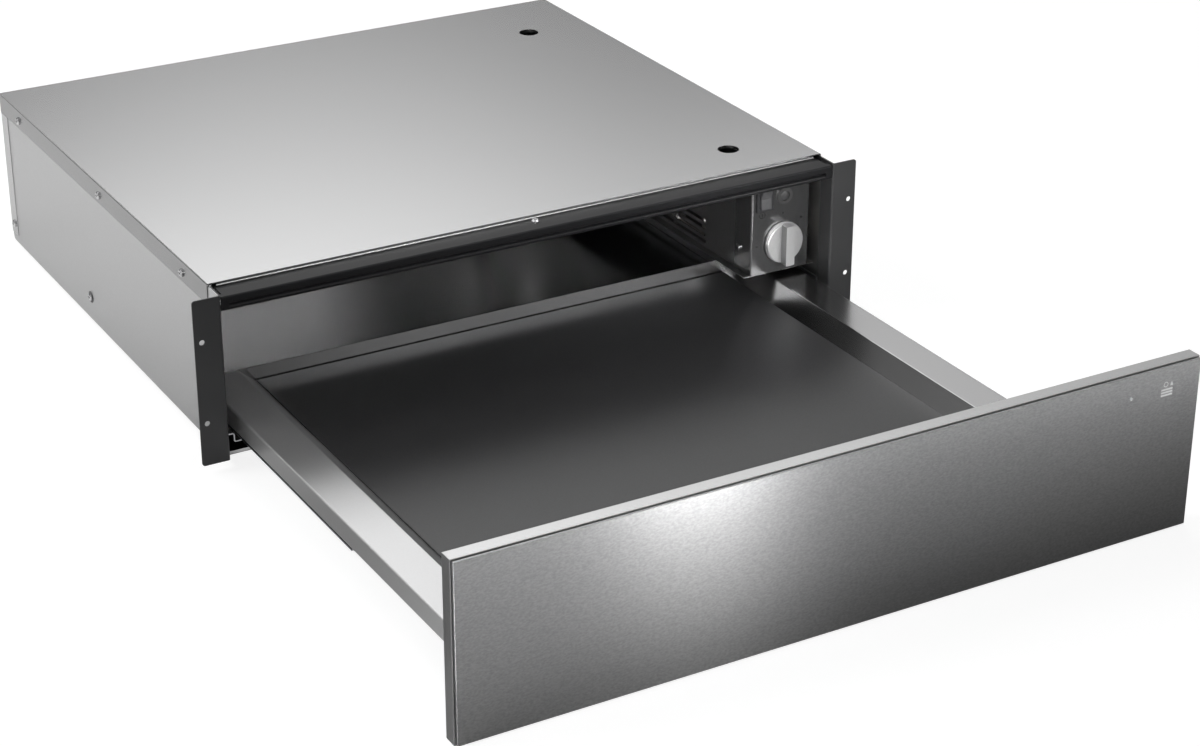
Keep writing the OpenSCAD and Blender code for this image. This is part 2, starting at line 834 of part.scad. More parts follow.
// Drawer rail of a runner: an inverted channel under the tray wall, hooked round the middle rail
module drawer_rail(side) {
    mid = runner_t / 2;
    leg = mid_top_w / 2 + hook_clear + mid;
    hook = mid_top - runner_t - hook_drop - mid;
    front = runner_front - open_travel;
    path = [
        [mid_web_u - leg + hook_w, hook], [mid_web_u - leg, hook], [mid_web_u - leg, drawer_web + mid],
        [mid_web_u + leg, drawer_web + mid], [mid_web_u + leg, hook], [mid_web_u + leg - hook_w, hook]
    ];
    lift() on_side(side) color("gainsboro")
        along_y(front, front + runner_l) folded([for (p = path) [-side_in + p[0], p[1]]], runner_t, runner_t);
}

// A flat ball cage with two rows of balls
module ball_cage(side, front, z, d, row_left, row_right, edge_left, edge_right) {
    pitch = cage_l / cage_balls;
    lift() on_side(side) translate([-side_in, front, z]) {
        color("darkkhaki") difference() {
            block([edge_left, 0, -cage_t / 2], [edge_right, cage_l, cage_t / 2]);
            for (u = [row_left, row_right], i = [0:cage_balls - 1])
                translate([u, (i + 0.5) * pitch, 0]) bar_z(d + ball_clear, -cage_t, cage_t);
            for (i = [0:cage_balls - 2])
                translate([(row_left + row_right) / 2, (i + 1) * pitch, 0])
                    bar_z(pitch / 2, -cage_t, cage_t);
        }
        color("silver") for (u = [row_left, row_right], i = [0:cage_balls - 1])
            translate([u, (i + 0.5) * pitch, 0]) sphere(d = d);
    }
}

module lower_cage(side) {
    inner = mid_edge_u + mid_w;
    ball_cage(
        side, lower_cage_front, runner_low + runner_t + ball_clear + low_ball_d / 2, low_ball_d,
        mid_edge_u + low_row_inset, inner - low_row_inset, mid_edge_u + ball_clear, inner - ball_clear
    );
}

module upper_cage(side) {
    top_half = mid_top_w / 2;
    ball_cage(
        side, upper_cage_front, mid_top + ball_clear + top_ball_d / 2, top_ball_d,
        mid_web_u - top_half + top_row_inset, mid_web_u + top_half - top_row_inset,
        mid_web_u - top_half + ball_clear, mid_web_u + top_half - ball_clear
    );
}

// Control plate: a face and a side return, with openings for the shaft, the switch and the lamp
module control_plate() {
    mid = control_t / 2;
    front = control_back - cut;
    back = control_back + control_t + cut;
    lift() color("gray") difference() {
        along_z(control_low, control_high) folded([
            [control_right, control_back + mid], [control_left + mid, control_back + mid],
            [control_left + mid, control_back + control_return]
        ], control_t);
        translate([knob_axis.x, 0, knob_axis.y])
            bar_y(bushing_d + free_gap, front, back);
        translate([lamp_axis.x, 0, lamp_axis.y])
            bar_y(lamp_neck_d + free_gap, front, back);
        translate([switch_mid.x, 0, switch_mid.y])
            box_y(switch_w - 2 * bezel_w, switch_h - 2 * bezel_w, front, back);
        for (z = housing_screw_heights())
            translate([control_left, housing_screw_y(), z]) bar_x(screw_d, -cut, control_t + cut);
    }
}

// Places of the control plate's screws, as shares of its return and of its height
return_screw_share = 0.72;
plate_screw_shares = [0.22, 0.82];
function housing_screw_y() = control_back + return_screw_share * control_return;
function housing_screw_heights() = [
    for (share = plate_screw_shares) control_low + share * control_h
];

// Louvred wall of the heater housing, with outlet slots at the element and intake slots at the fan
module louvred_wall() {
    mid = case_t / 2;
    front = control_back + control_t + free_gap;
    lift() color("gray") difference() {
        along_y(front, housing_back) folded([
            [wall_x + mid + side_flange, control_high - mid], [wall_x + mid, control_high - mid],
            [wall_x + mid, housing_low + mid], [wall_x + mid + side_flange, housing_low + mid]
        ], case_t);
        for (i = [0:3]) translate([0, 0, housing_low + slot_low + i * slot_pitch])
            slot_cut(slot_front, slot_l);
        for (i = [0:7]) translate([0, 0, fan_z + (i - 3.5) * slot_pitch])
            slot_cut(fan_y - intake_l / 2, intake_l);
        for (y = [vent_front, vent_rear])
            block([wall_x + case_t + free_gap, y - vent_d, control_high - case_t - cut],
                [wall_x + 2 * side_flange, y + vent_d, control_high + cut]);
        for (z = housing_screw_heights())
            translate([0, housing_screw_y(), z]) bar_x(screw_d, wall_x - cut, wall_x + case_t + cut);
    }
}

// A lying slot through the louvred wall
module slot_cut(front, l) {
    along_x(wall_x - cut, wall_x + case_t + cut) {
        translate([front + slot_h / 2, -slot_h / 2]) square([l - slot_h, slot_h]);
        for (y = [front + slot_h / 2, front + l - slot_h / 2]) translate([y, 0]) circle(d = slot_h);
    }
}

// Floor of the heater housing: a lip beside the louvred wall, a flange up the side behind the plate
module housing_floor() {
    mid = case_t / 2;
    left = control_left - housing_lip;
    right = side_in - mid;
    lift() color("gray") difference() {
        along_y(control_back + control_t, housing_back) folded([
            [left, housing_low - mid], [right, housing_low - mid], [right, housing_low + side_flange]
        ], case_t);
        block([control_right, control_back, housing_low],
            [side_in + cut, control_back + control_return, housing_low + side_flange + cut]);
    }
}

// Screws of the control plate's side return
module housing_screws() {
    lift() color("silver") for (z = housing_screw_heights())
        translate([control_left, housing_screw_y(), z]) screw_x(screw_d);
}

// Thermostat behind the control plate, with the bushing that holds its shaft
module thermostat() {
    front = control_back + control_t;
    half = thermostat_w / 2;
    lift() color("ivory") translate([knob_axis.x, 0, knob_axis.y]) difference() {
        union() {
            block([-half, front, half - thermostat_h], [half, front + thermostat_l, half]);
            bar_y(bushing_d, control_back - knob_gap / 3, front + cut);
            for (x = [-half / 2, half / 2]) translate([x, 0, 0]) tab_z(front + thermostat_l);
        }
        bar_y(shaft_d + shaft_clear, control_back - cut, front + thermostat_l / 2 + free_gap);
    }
}

// Shaft of the thermostat, which turns with the knob
module thermostat_shaft() {
    flat = shaft_d / 4;
    lift() color("silver") translate([knob_axis.x, 0, knob_axis.y]) difference() {
        bar_y(shaft_d, knob_face + knob_skin, control_back + control_t + thermostat_l / 2);
        block([-shaft_d, knob_face, flat], [shaft_d, knob_back - knob_skin, shaft_d]);
    }
}

// Control knob: a stepped disc with a straight grip
module knob() {
    r = knob_d / 2;
    rim = r - 2 * knob_step;
    flat = shaft_d / 4 + press_clear / 2;
    lift() color("silver") translate([knob_axis.x, 0, knob_axis.y]) difference() {
        union() {
            translate([0, knob_back, 0]) rotate([90, 0, 0]) rotate_extrude($fn = 96) polygon([
                [rim, 0], [r, 0], [r, knob_t / 2 - knob_step / 4], [r - knob_step / 2, knob_t / 2],
                [r - knob_step / 2, knob_t - knob_step], [r - 1.5 * knob_step, knob_t], [0, knob_t],
                [0, knob_t - 2 * knob_step], [rim, knob_t - 2 * knob_step]
            ]);
            bar_y(2 * shaft_d, knob_face + knob_step, knob_back);
            along_y(grip_face, knob_face + knob_step) intersection() {
                square([grip_w, knob_d], center = true);
                circle(r = r - knob_step / 4);
            }
        }
        difference() {
            bar_y(shaft_d + press_clear, knob_face + knob_skin, knob_back + cut);
            block([-shaft_d, knob_face, flat], [shaft_d, knob_back - knob_skin, shaft_d]);
        }
        translate([0, 0, r]) rotate([45, 0, 0]) cube([grip_w + cut, notch_w, notch_w], center = true);
    }
}

// Switch body with its bezel and the opening for the rocker
module switch_body() {
    front = control_back - bezel_t;
    back = control_back + control_t;
    neck_w = switch_neck_w;
    pin = neck_w / 2 + cut;
    neck_h = switch_h - 2 * (bezel_w + seat_gap);
    lift() color("dimgray") translate([switch_mid.x, 0, switch_mid.y]) difference() {
        union() {
            box_y(switch_w, switch_h, front, control_back);
            box_y(neck_w, neck_h, control_back - cut, back + switch_l);
            for (z = [-neck_h / 3, 0, neck_h / 3]) translate([0, 0, z]) tab_x(back + switch_l);
        }
        box_y(neck_w - 2 * bezel_wall, neck_h - 2 * bezel_wall, front - cut, back + switch_well);
        translate([0, front + rocker_axis, 0]) bar_x(rocker_pin_d + shaft_clear, -pin, pin);
    }
}

// Rocker of the switch: two faces at a shallow angle, a round back and two pivot pins
module rocker() {
    well = 2 * (bezel_w + seat_gap + bezel_wall + rocker_gap);
    w = (switch_w - well) / 2;
    h = (switch_h - well) / 2;
    tip = rocker_proud + rocker_rise + h * tan(rocker_tilt);
    root = h * rocker_root_share;
    pin = switch_neck_w / 2 - seat_gap;
    lift() color("gray") translate([switch_mid.x, control_back - bezel_t + rocker_axis, switch_mid.y]) {
        rotate([rocker_tilt, 0, 0]) along_x(-w, w) polygon([
            [-tip, -h], [-rocker_proud, 0], [-tip, h], [rocker_rise, h],
            [rocker_root, root], [rocker_root, -root], [rocker_rise, -h]
        ]);
        bar_x(rocker_pin_d, -pin, pin);
    }
}

// Lamp holder behind the plate, with its ring in front
module lamp_holder() {
    back = control_back + control_t + lamp_l;
    lift() color("silver") translate([lamp_axis.x, 0, lamp_axis.y]) difference() {
        union() {
            bar_y(lamp_d, control_back - bezel_t, control_back);
            bar_y(lamp_neck_d, control_back - cut, back);
            for (x = [-lamp_neck_d / 4, lamp_neck_d / 4]) translate([x, 0, 0]) tab_z(back);
        }
        bar_y(lamp_neck_d - 2 * lamp_wall, control_back - bezel_t - cut, control_back + lens_seat);
    }
}

// Lens of the lamp
module lamp_lens() {
    r = lamp_neck_d / 2 - lamp_wall - seat_gap;
    lift() color("darkred") translate([lamp_axis.x, control_back + lens_seat, lamp_axis.y])
        rotate([90, 0, 0]) rotate_extrude() polygon([
            [0, 0], [r, 0], for (share = lens_dome_shares) [r * share[0], lens_h * share[1]], [0, lens_h]
        ]);
}

// Tubular heating element: a flat hairpin behind the outlet slots
module heating_element() {
    half = element_span / 2;
    lift() color("dimgray") translate([element_x, 0, element_low + half]) {
        translate([0, element_front, 0]) rotate([180, 90, 0]) rotate_extrude(angle = 180)
            translate([half, 0]) circle(d = element_d);
        for (z = [-half, half]) translate([0, 0, z]) {
            bar_y(element_d, element_front, element_back);
            bar_y(element_d * element_neck_share, element_back - cut, element_back + element_end);
            bar_y(element_d * element_pin_share, element_back, element_back + element_end + element_pin);
        }
    }
}

// Places of the clips along the element, as shares of its length
clip_shares = [0.2, 0.85];

// Clips that hold the element off the housing floor
module element_clips() {
    half = element_d / 2 + clip_edge;
    post = element_x + half;
    low = element_low - element_d / 2 - clip_t;
    high = element_low + element_span + half;
    lift() color("silver") for (share = clip_shares)
        translate([0, element_front + share * (element_back - element_front), 0]) difference() {
            union() {
                block([element_x - half, 0, low], [post, clip_w, high]);
                block([post - clip_t, 0, housing_low], [post, clip_w, element_low]);
                block([post - clip_t, 0, housing_low], [post + half, clip_w, housing_low + clip_t]);
            }
            for (z = [0, element_span]) translate([element_x, 0, element_low + z])
                bar_y(element_d, -cut, clip_w + cut);
            block([element_x - half + clip_t, -cut, element_low + half],
                [post - clip_t, clip_w + cut, element_low + element_span - half]);
        }
}

// Bracket of the fan's motor: a plate off the case's side with two legs
module fan_bracket() {
    foot_x = side_in - bracket_t / 2;
    plate_x = side_in - bracket_h;
    half = fan_d / 2;
    inner = half - bracket_foot / 2;
    lift() color("silver") difference() {
        along_z(fan_z - bracket_w / 2, fan_z + bracket_w / 2) folded([
            [foot_x, fan_y - inner - bracket_foot], [foot_x, fan_y - inner], [plate_x, fan_y - inner],
            [plate_x, fan_y + inner], [foot_x, fan_y + inner], [foot_x, fan_y + inner + bracket_foot]
        ], bracket_t, bracket_t);
        translate([0, fan_y, fan_z]) bar_x(motor_neck_d + free_gap, plate_x - bracket_t, plate_x + bracket_t);
    }
}

// Shaded-pole motor of the fan: a stack of plates, a coil and two bearing caps
module fan_motor() {
    half = motor_w / 2;
    low = -motor_h / 2;
    coil = motor_w / 3;
    cap = motor_t + motor_cap_h;
    lift() color("gray") translate([motor_x, fan_y, fan_z]) difference() {
        union() {
            block([-motor_t, -half, low], [0, half, low + motor_h]);
            block([-cap + tab_t, -coil, low], [-motor_t + cut, coil, low + motor_cap_h + motor_t / 2]);
            bar_x(motor_cap_d, -cap, -motor_t + cut);
            bar_x(motor_neck_d, -cut, 2 * bracket_t);
        }
        bar_x(fan_shaft_d + shaft_clear, -cap - cut, -motor_t + motor_cap_h / 2);
    }
}

// Fan impeller: a hub, a backing disc and curved blades, with the shaft that turns it
module fan_impeller() {
    r = fan_d / 2;
    shaft_end = motor_x - motor_t + motor_cap_h / 3;
    lift() color("silver") translate([fan_x, fan_y, fan_z]) {
        bar_x(fan_d, fan_w - fan_disc_t, fan_w);
        bar_x(fan_hub_d, 0, fan_w + fan_hub_h);
        bar_x(fan_shaft_d, fan_w, shaft_end - fan_x);
        for (i = [0:fan_blades - 1]) rotate([i * 360 / fan_blades, 0, 0])
            along_x(fan_disc_t, fan_w - fan_disc_t + cut) fan_blade(r);
    }
}

// A curved blade between the impeller's rim and its inner ring
module fan_blade(r) {
    bend = r / 2;
    intersection() {
        difference() {
            circle(r = r - fan_blade_t);
            circle(r = r * fan_ring_share);
        }
        translate([r * fan_ring_share, bend]) difference() {
            circle(r = bend + fan_blade_t);
            circle(r = bend);
            translate([-r, 0]) square([2 * r, r]);
            translate([-r - fan_blade_t, -r]) square([r + fan_blade_t, 2 * r]);
        }
    }
}

// Thermal cut-out on the louvred wall
module thermal_cutout() {
    x = wall_x + case_t;
    top = x + cutout_h;
    half = cutout_plate_l / 2;
    lift() color("dimgray") translate([0, cutout_y, fan_z - cutout_d / 2]) {
        bar_x(cutout_d, x, top);
        block([x, -half, -tab_w / 2], [x + tab_t, half, tab_w / 2]);
        for (y = [-cutout_d / 4, cutout_d / 4])
            block([top - cut, y - tab_t / 2, -tab_w / 2], [top + tab_l, y + tab_t / 2, tab_w / 2]);
    }
}

// Terminal block on the housing's floor
module terminal_block() {
    y = housing_back - block_back - pole_depth;
    well = pole_h - pole_base + cut;
    lift() color("ivory") translate([gland_x() - poles * pole_pitch / 2, y, housing_low]) difference() {
        union() for (i = [0:poles - 1]) {
            block([i * pole_pitch, 0, 0], [(i + 1) * pole_pitch, pole_depth, pole_base]);
            block([i * pole_pitch + pole_gap, pole_gap, pole_base - cut],
                [(i + 1) * pole_pitch - pole_gap, pole_depth - pole_gap, pole_h]);
        }
        for (i = [0:poles - 1]) translate([(i + 0.5) * pole_pitch, 0, (pole_base + pole_h) / 2 - pole_gap]) {
            bar_y(pole_bore, -cut, pole_depth + cut);
            for (v = [pole_depth / 3, 2 * pole_depth / 3]) translate([0, v, 0]) bar_z(pole_bore, 0, well);
        }
    }
}

// Mains inlet gland in the back panel
module inlet_gland() {
    seat = gland_d + 2 * gland_rim;
    lift() color("dimgray") translate([gland_x(), back_in, gland_z()]) difference() {
        union() {
            rotate([90, 0, 0]) cylinder(d = seat + gland_rim, h = gland_nut_h, $fn = 6);
            bar_y(gland_d - 2 * seat_gap, -cut, case_t + cut);
            bar_y(seat, case_t, case_t + gland_collar_h);
            bar_y(gland_d + gland_rim / 2, case_t + cut, case_t + gland_collar_h + gland_cap_h);
        }
        bar_y(gland_d * gland_bore_share, -gland_nut_h - cut, case_t + gland_collar_h + gland_cap_h + cut);
    }
}

// Body of the push latch, with a bore for its plunger
module latch_body() {
    half = latch_w / 2;
    ear_top = case_t + latch_ear_t;
    lift() color("dimgray") difference() {
        union() {
            block([-half, latch_front, case_t], [half, latch_back, case_t + latch_h]);
            block([-half - latch_ear, latch_front + latch_ear_inset, case_t],
                [half + latch_ear, latch_back - latch_ear_inset, ear_top]);
        }
        translate([0, 0, plunger_z])
            bar_y(plunger_d + shaft_clear, latch_front - cut, latch_back - latch_end_wall);
        for (x = [-latch_screw_x, latch_screw_x]) translate([x, latch_screw_y, 0])
            bar_z(screw_d, case_t - cut, ear_top + cut);
    }
}

// Sprung plunger of the latch, with a round nose
module latch_plunger() {
    r = plunger_d / 2;
    lift() color("ivory") translate([0, plunger_tip, plunger_z]) rotate([-90, 0, 0])
        rotate_extrude() polygon([[0, 0], [r / 2, 0], [r, r / 2], [r, plunger_l], [0, plunger_l]]);
}

// Screws that hold the latch down on the base plate
module latch_screws() {
    lift() color("silver") for (x = [-latch_screw_x, latch_screw_x])
        translate([x, latch_screw_y, case_t + latch_ear_t]) rotate([0, 90, 0]) screw_x(latch_ear_t);
}

// Striker under the tray, which meets the latch when the drawer closes
module latch_striker() {
    top = floor_low - striker_t / 2;
    back = striker_back - striker_t / 2;
    lift() color("silver") along_x(-striker_w / 2, striker_w / 2) folded([
        [striker_back - striker_l, top], [back, top], [back, plunger_z - striker_reach]
    ], striker_t, striker_t);
}

// Tray side wall: outer skirt, flat rim, slope down to the mat and a flange under the floor
module tray_wall(side) {
    mid = tray_t / 2;
    path = [
        [skirt_u + mid, tray_skirt], [skirt_u + mid, tray_top - mid], [rim_u - mid / 2, tray_top - mid],
        [wall_foot_u, floor_low - mid], [wall_foot_u + wall_flange, floor_low - mid]
    ];
    lift() on_side(side) color("lightgray")
        along_y(panel_back + tray_t, rear_y) folded([for (p = path) [-side_in + p[0], p[1]]], tray_t);
}

// Tray floor with a front lip against the panel
module tray_floor() {
    mid = tray_t / 2;
    front = panel_back + mid;
    lift() color("lightgray") along_x(-floor_half, floor_half)
        folded([[front, tray_top - 3 * tray_t], [front, floor_low + mid], [rear_y, floor_low + mid]], tray_t);
}

// Tray rear wall, between the two slopes, with a flange under the floor
module tray_rear_wall() {
    foot = floor_half + rear_foot_w;
    top = side_in - rim_u + rear_ear_w;
    inner = side_in - wall_foot_u - wall_flange - tray_t;
    low = floor_low - tray_t;
    lift() color("lightgray") difference() {
        union() {
            along_y(rear_y, rear_y + tray_t)
                polygon([[-foot, low], [foot, low], [top, tray_top], [-top, tray_top]]);
            block([-inner, rear_y - rear_flange, low], [inner, rear_y + tray_t / 2, floor_low]);
        }
        block([-striker_w, rear_y - rear_flange - cut, low - cut],
            [striker_w, striker_back + tray_t, floor_low + cut]);
    }
}

// Anti-slip mat
module tray_mat() {
    lift() color("dimgray")
        block([-mat_half, panel_back + 2 * tray_t, floor_top], [mat_half, rear_y - mat_gap, mat_top]);
}

// Bracket that fastens a tray wall to the panel
module front_bracket(side) {
    mid = tray_t / 2;
    under = tray_top - tray_t;
    lift() on_side(side) color("gainsboro") difference() {
        along_x(-side_in + skirt_u + 2 * tray_t, -side_in + rim_u - 2 * tray_t) folded([
            [panel_back + mid, tray_skirt], [panel_back + mid, under - mid],
            [runner_front - open_travel - free_gap, under - mid]
        ], tray_t);
        for (u = bracket_screw_places()) translate([-side_in + u, 0, bracket_screw_z()])
            bar_y(screw_d, panel_back - cut, panel_back + tray_t + cut);
    }
}

function bracket_screw_places() = [skirt_u + 0.25 * tray_rim, skirt_u + 0.75 * tray_rim];
function bracket_screw_z() = (tray_skirt + tray_top) / 2;

// Screws of the two brackets
module bracket_screws() {
    lift() color("silver") for (side = [LEFT, RIGHT], u = bracket_screw_places())
        on_side(side) translate([-side_in + u, panel_back + tray_t, bracket_screw_z()])
            rotate([0, 0, -90]) screw_x(frame_depth / 2);
}

// Aluminium frame round the front panel
module front_frame() {
    half = front_w / 2;
    in = frame_wall;
    lift() color("gainsboro") difference() {
        block([-half, panel_front, panel_low], [half, panel_back, panel_high]);
        block([-half + in, panel_front + in, panel_low + in], [half - in, panel_back + cut, panel_high - in]);
        block([-half + frame_lip, panel_front - cut, panel_low + frame_lip],
            [half - frame_lip, panel_back, panel_high - frame_lip]);
    }
}

// Back plate of the front panel, with edges folded forward into the frame
module front_back_plate() {
    half = front_w / 2 - frame_wall - seat_gap;
    low = panel_low + frame_wall + seat_gap;
    high = panel_high - frame_wall - seat_gap;
    lift() color("lightgray") difference() {
        block([-half, panel_back - back_fold, low], [half, panel_back, high]);
        block([-half + sheet_t, panel_back - back_fold - cut, low + sheet_t],
            [half - sheet_t, panel_back - sheet_t, high - sheet_t]);
        for (side = [LEFT, RIGHT], u = bracket_screw_places())
            on_side(side) translate([-side_in + u, 0, bracket_screw_z()])
                bar_y(screw_d, panel_back - back_fold, panel_back + cut);
    }
}

// Stiffening core between the back plate and the steel sheet
module front_core() {
    half = front_w / 2 - frame_lip - free_gap;
    lift() color("beige") difference() {
        block([-half, panel_front, panel_low + frame_lip + free_gap],
            [half, panel_back - sheet_t, panel_high - frame_lip - free_gap]);
        for (side = [LEFT, RIGHT], u = bracket_screw_places())
            on_side(side) translate([-side_in + u, 0, bracket_screw_z()])
                bar_y(screw_d + free_gap, panel_front + frame_wall, panel_back);
        light_place() bar_y(light_body_d + free_gap, panel_front - cut, panel_back);
    }
}

// Bonding pad between the frame and the steel sheet, set back from the edges
module front_pad() {
    half = sheet_half - pad_inset;
    lift() color("dimgray") difference() {
        block([-half, sheet_front + sheet_t, panel_low + sheet_inset + pad_inset],
            [half, panel_front, panel_high - sheet_inset - pad_inset]);
        light_place() bar_y(light_body_d + free_gap, sheet_front, panel_front + cut);
    }
}

// The place of the function light
module light_place() {
    translate([front_w / 2 - light_side, 0, panel_high - light_drop]) children();
}

// Stainless steel sheet on the front, its edges folded back
module front_sheet() {
    low = panel_low + sheet_inset;
    high = panel_high - sheet_inset;
    back = sheet_front + sheet_depth;
    lift() color("silver") difference() {
        block([-sheet_half, sheet_front, low], [sheet_half, back, high]);
        block([-sheet_half + sheet_t, sheet_front + sheet_t, low + sheet_t],
            [sheet_half - sheet_t, back + cut, high - sheet_t]);
        light_place() bar_y(light_d + 2 * seat_gap, sheet_front - cut, sheet_front + sheet_t + cut);
    }
}

// Function light: a lens in the steel sheet on a small lamp body
module front_light() {
    lift() color("white") light_place() {
        bar_y(light_d, sheet_front - seat_gap, sheet_front + sheet_t + cut);
        bar_y(light_body_d, sheet_front + sheet_t, panel_back - sheet_t);
    }
}

// Soft buffers on the back of the panel, in line with the flanges
module buffers() {
    lift() color("white") for (s = [-1, 1], z = [panel_low + buffer_edge, panel_high - buffer_edge])
        translate([s * (front_w / 2 - buffer_side), panel_back, z]) rotate([-90, 0, 0])
            cylinder(d = buffer_d, h = closed_gap - free_gap);
}

base_plate();
side_panel(LEFT);  // side_panel_left
side_panel(RIGHT);  // side_panel_right
back_panel();
top_cover();
flange(LEFT);  // flange_left
flange(RIGHT);  // flange_right
front_rail();
case_screws();
case_rail(LEFT);  // case_rail_left
case_rail(RIGHT);  // case_rail_right
rail_foot(LEFT);  // rail_foot_left
rail_foot(RIGHT);  // rail_foot_right
runner_screws();
control_plate();
louvred_wall();
housing_floor();
housing_screws();
thermostat();
switch_body();
lamp_holder();
lamp_lens();
heating_element();
element_clips();
fan_bracket();
fan_motor();
thermal_cutout();
terminal_block();
inlet_gland();
latch_body();
latch_screws();
middle_rail(LEFT);  // middle_rail_left
middle_rail(RIGHT);  // middle_rail_right
lower_cage(LEFT);  // lower_cage_left
lower_cage(RIGHT);  // lower_cage_right
upper_cage(LEFT);  // upper_cage_left
upper_cage(RIGHT);  // upper_cage_right
drawer_rail(LEFT);  // drawer_rail_left
drawer_rail(RIGHT);  // drawer_rail_right
tray_wall(LEFT);  // tray_wall_left
tray_wall(RIGHT);  // tray_wall_right
tray_floor();
tray_rear_wall();
tray_mat();
front_bracket(LEFT);  // front_bracket_left
front_bracket(RIGHT);  // front_bracket_right
bracket_screws();
front_frame();
front_back_plate();
front_core();
front_pad();
front_sheet();
front_light();
buffers();
latch_striker();
knob();
thermostat_shaft();
rocker();
fan_impeller();
latch_plunger();
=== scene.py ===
"""Looks of the built-in warming drawer: camera, soft studio, materials and small details."""

import json
import math

import bmesh
import bpy
from mathutils import Matrix, Vector


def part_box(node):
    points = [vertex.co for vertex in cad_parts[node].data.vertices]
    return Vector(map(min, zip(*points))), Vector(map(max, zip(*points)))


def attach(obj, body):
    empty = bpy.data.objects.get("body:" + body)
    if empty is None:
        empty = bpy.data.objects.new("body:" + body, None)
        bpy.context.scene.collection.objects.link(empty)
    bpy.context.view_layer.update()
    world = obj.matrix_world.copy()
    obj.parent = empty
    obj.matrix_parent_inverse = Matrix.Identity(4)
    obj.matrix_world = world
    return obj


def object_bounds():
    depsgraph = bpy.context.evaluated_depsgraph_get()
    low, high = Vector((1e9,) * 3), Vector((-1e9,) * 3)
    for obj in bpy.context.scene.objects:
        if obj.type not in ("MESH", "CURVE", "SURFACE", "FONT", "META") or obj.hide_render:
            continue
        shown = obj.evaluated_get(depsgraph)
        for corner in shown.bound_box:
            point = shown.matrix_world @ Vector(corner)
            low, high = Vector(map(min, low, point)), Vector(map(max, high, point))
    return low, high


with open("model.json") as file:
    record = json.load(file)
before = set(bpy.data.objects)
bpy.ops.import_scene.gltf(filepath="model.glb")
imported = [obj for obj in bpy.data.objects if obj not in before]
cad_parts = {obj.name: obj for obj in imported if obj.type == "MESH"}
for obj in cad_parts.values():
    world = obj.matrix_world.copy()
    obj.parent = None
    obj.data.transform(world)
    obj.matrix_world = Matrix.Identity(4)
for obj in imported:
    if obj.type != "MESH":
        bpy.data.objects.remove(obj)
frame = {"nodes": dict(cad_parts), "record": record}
cad_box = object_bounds()

MM = 0.001
MERGE_GAP = 0.01 * MM

# Camera: where the photograph was taken from
CAMERA_PLACE = Vector((-0.9307, -1.7204, 0.8790))
CAMERA_AZIMUTH = -29.684
CAMERA_DOWN = 25.250
CAMERA_ROLL = 0.054
CAMERA_LENS = 81.317
CAMERA_SHIFT = -0.01509
SENSOR_WIDTH = 36
CLIP_NEAR, CLIP_FAR = 0.05, 60


def turn(degrees, axis):
    return Matrix.Rotation(math.radians(degrees), 4, axis)


def link(obj):
    bpy.context.scene.collection.objects.link(obj)
    return obj


def make_camera():
    data = bpy.data.cameras.new("camera")
    data.sensor_width = SENSOR_WIDTH
    data.lens = CAMERA_LENS
    data.shift_y = CAMERA_SHIFT
    data.clip_start = CLIP_NEAR
    data.clip_end = CLIP_FAR
    camera = link(bpy.data.objects.new("camera", data))
    camera.matrix_world = (
        Matrix.Translation(CAMERA_PLACE)
        @ turn(CAMERA_AZIMUTH, "Z")
        @ turn(90 - CAMERA_DOWN, "X")
        @ turn(CAMERA_ROLL, "Z")
    )
    bpy.context.scene.camera = camera


# Node helpers
def feed(tree, value, socket):
    """Puts a number or another node's result into a socket."""
    if isinstance(value, bpy.types.NodeSocket):
        tree.links.new(value, socket)
    else:
        socket.default_value = value


def maths(tree, operation, first, second=None):
    node = tree.nodes.new("ShaderNodeMath")
    node.operation = operation
    feed(tree, first, node.inputs[0])
    if second is not None:
        feed(tree, second, node.inputs[1])
    return node.outputs["Value"]


def vector_maths(tree, operation, first, second=None, result="Vector"):
    node = tree.nodes.new("ShaderNodeVectorMath")
    node.operation = operation
    feed(tree, first, node.inputs[0])
    if second is not None:
        feed(tree, second, node.inputs[1])
    return node.outputs[result]


def texture_coordinates(tree, kind):
    return tree.nodes.new("ShaderNodeTexCoord").outputs[kind]


def split_axes(tree, vector):
    node = tree.nodes.new("ShaderNodeSeparateXYZ")
    tree.links.new(vector, node.inputs["Vector"])
    return node.outputs


def coordinates(tree, scale=(1, 1, 1)):
    """The object's own coordinates, in metres, stretched by scale."""
    mapping = tree.nodes.new("ShaderNodeMapping")
    mapping.inputs["Scale"].default_value = scale
    tree.links.new(texture_coordinates(tree, "Object"), mapping.inputs["Vector"])
    return mapping.outputs["Vector"]


def noise(tree, vector, scale, detail=2.0, rough=0.5):
    node = tree.nodes.new("ShaderNodeTexNoise")
    node.inputs["Scale"].default_value = scale
    node.inputs["Detail"].default_value = detail
    node.inputs["Roughness"].default_value = rough
    tree.links.new(vector, node.inputs["Vector"])
    return node.outputs["Fac"]


def ramp(tree, value, low, high, from_low=0.3, from_high=0.7):
    """A value spread over a range of numbers. The usual input is a noise, within 0.3 to 0.7."""
    node = tree.nodes.new("ShaderNodeMapRange")
    node.inputs["From Min"].default_value = from_low
    node.inputs["From Max"].default_value = from_high
    node.inputs["To Min"].default_value = low
    node.inputs["To Max"].default_value = high
    tree.links.new(value, node.inputs["Value"])
    return node.outputs["Result"]


def by_ray(tree, kind, otherwise, value):
    """One value for one kind of ray, and another for the rest."""
    path = tree.nodes.new("ShaderNodeLightPath")
    pick = tree.nodes.new("ShaderNodeMix")
    pick.data_type = "FLOAT"
    tree.links.new(path.outputs[kind], pick.inputs["Factor"])
    feed(tree, otherwise, pick.inputs["A"])
    feed(tree, value, pick.inputs["B"])
    return pick.outputs["Result"]


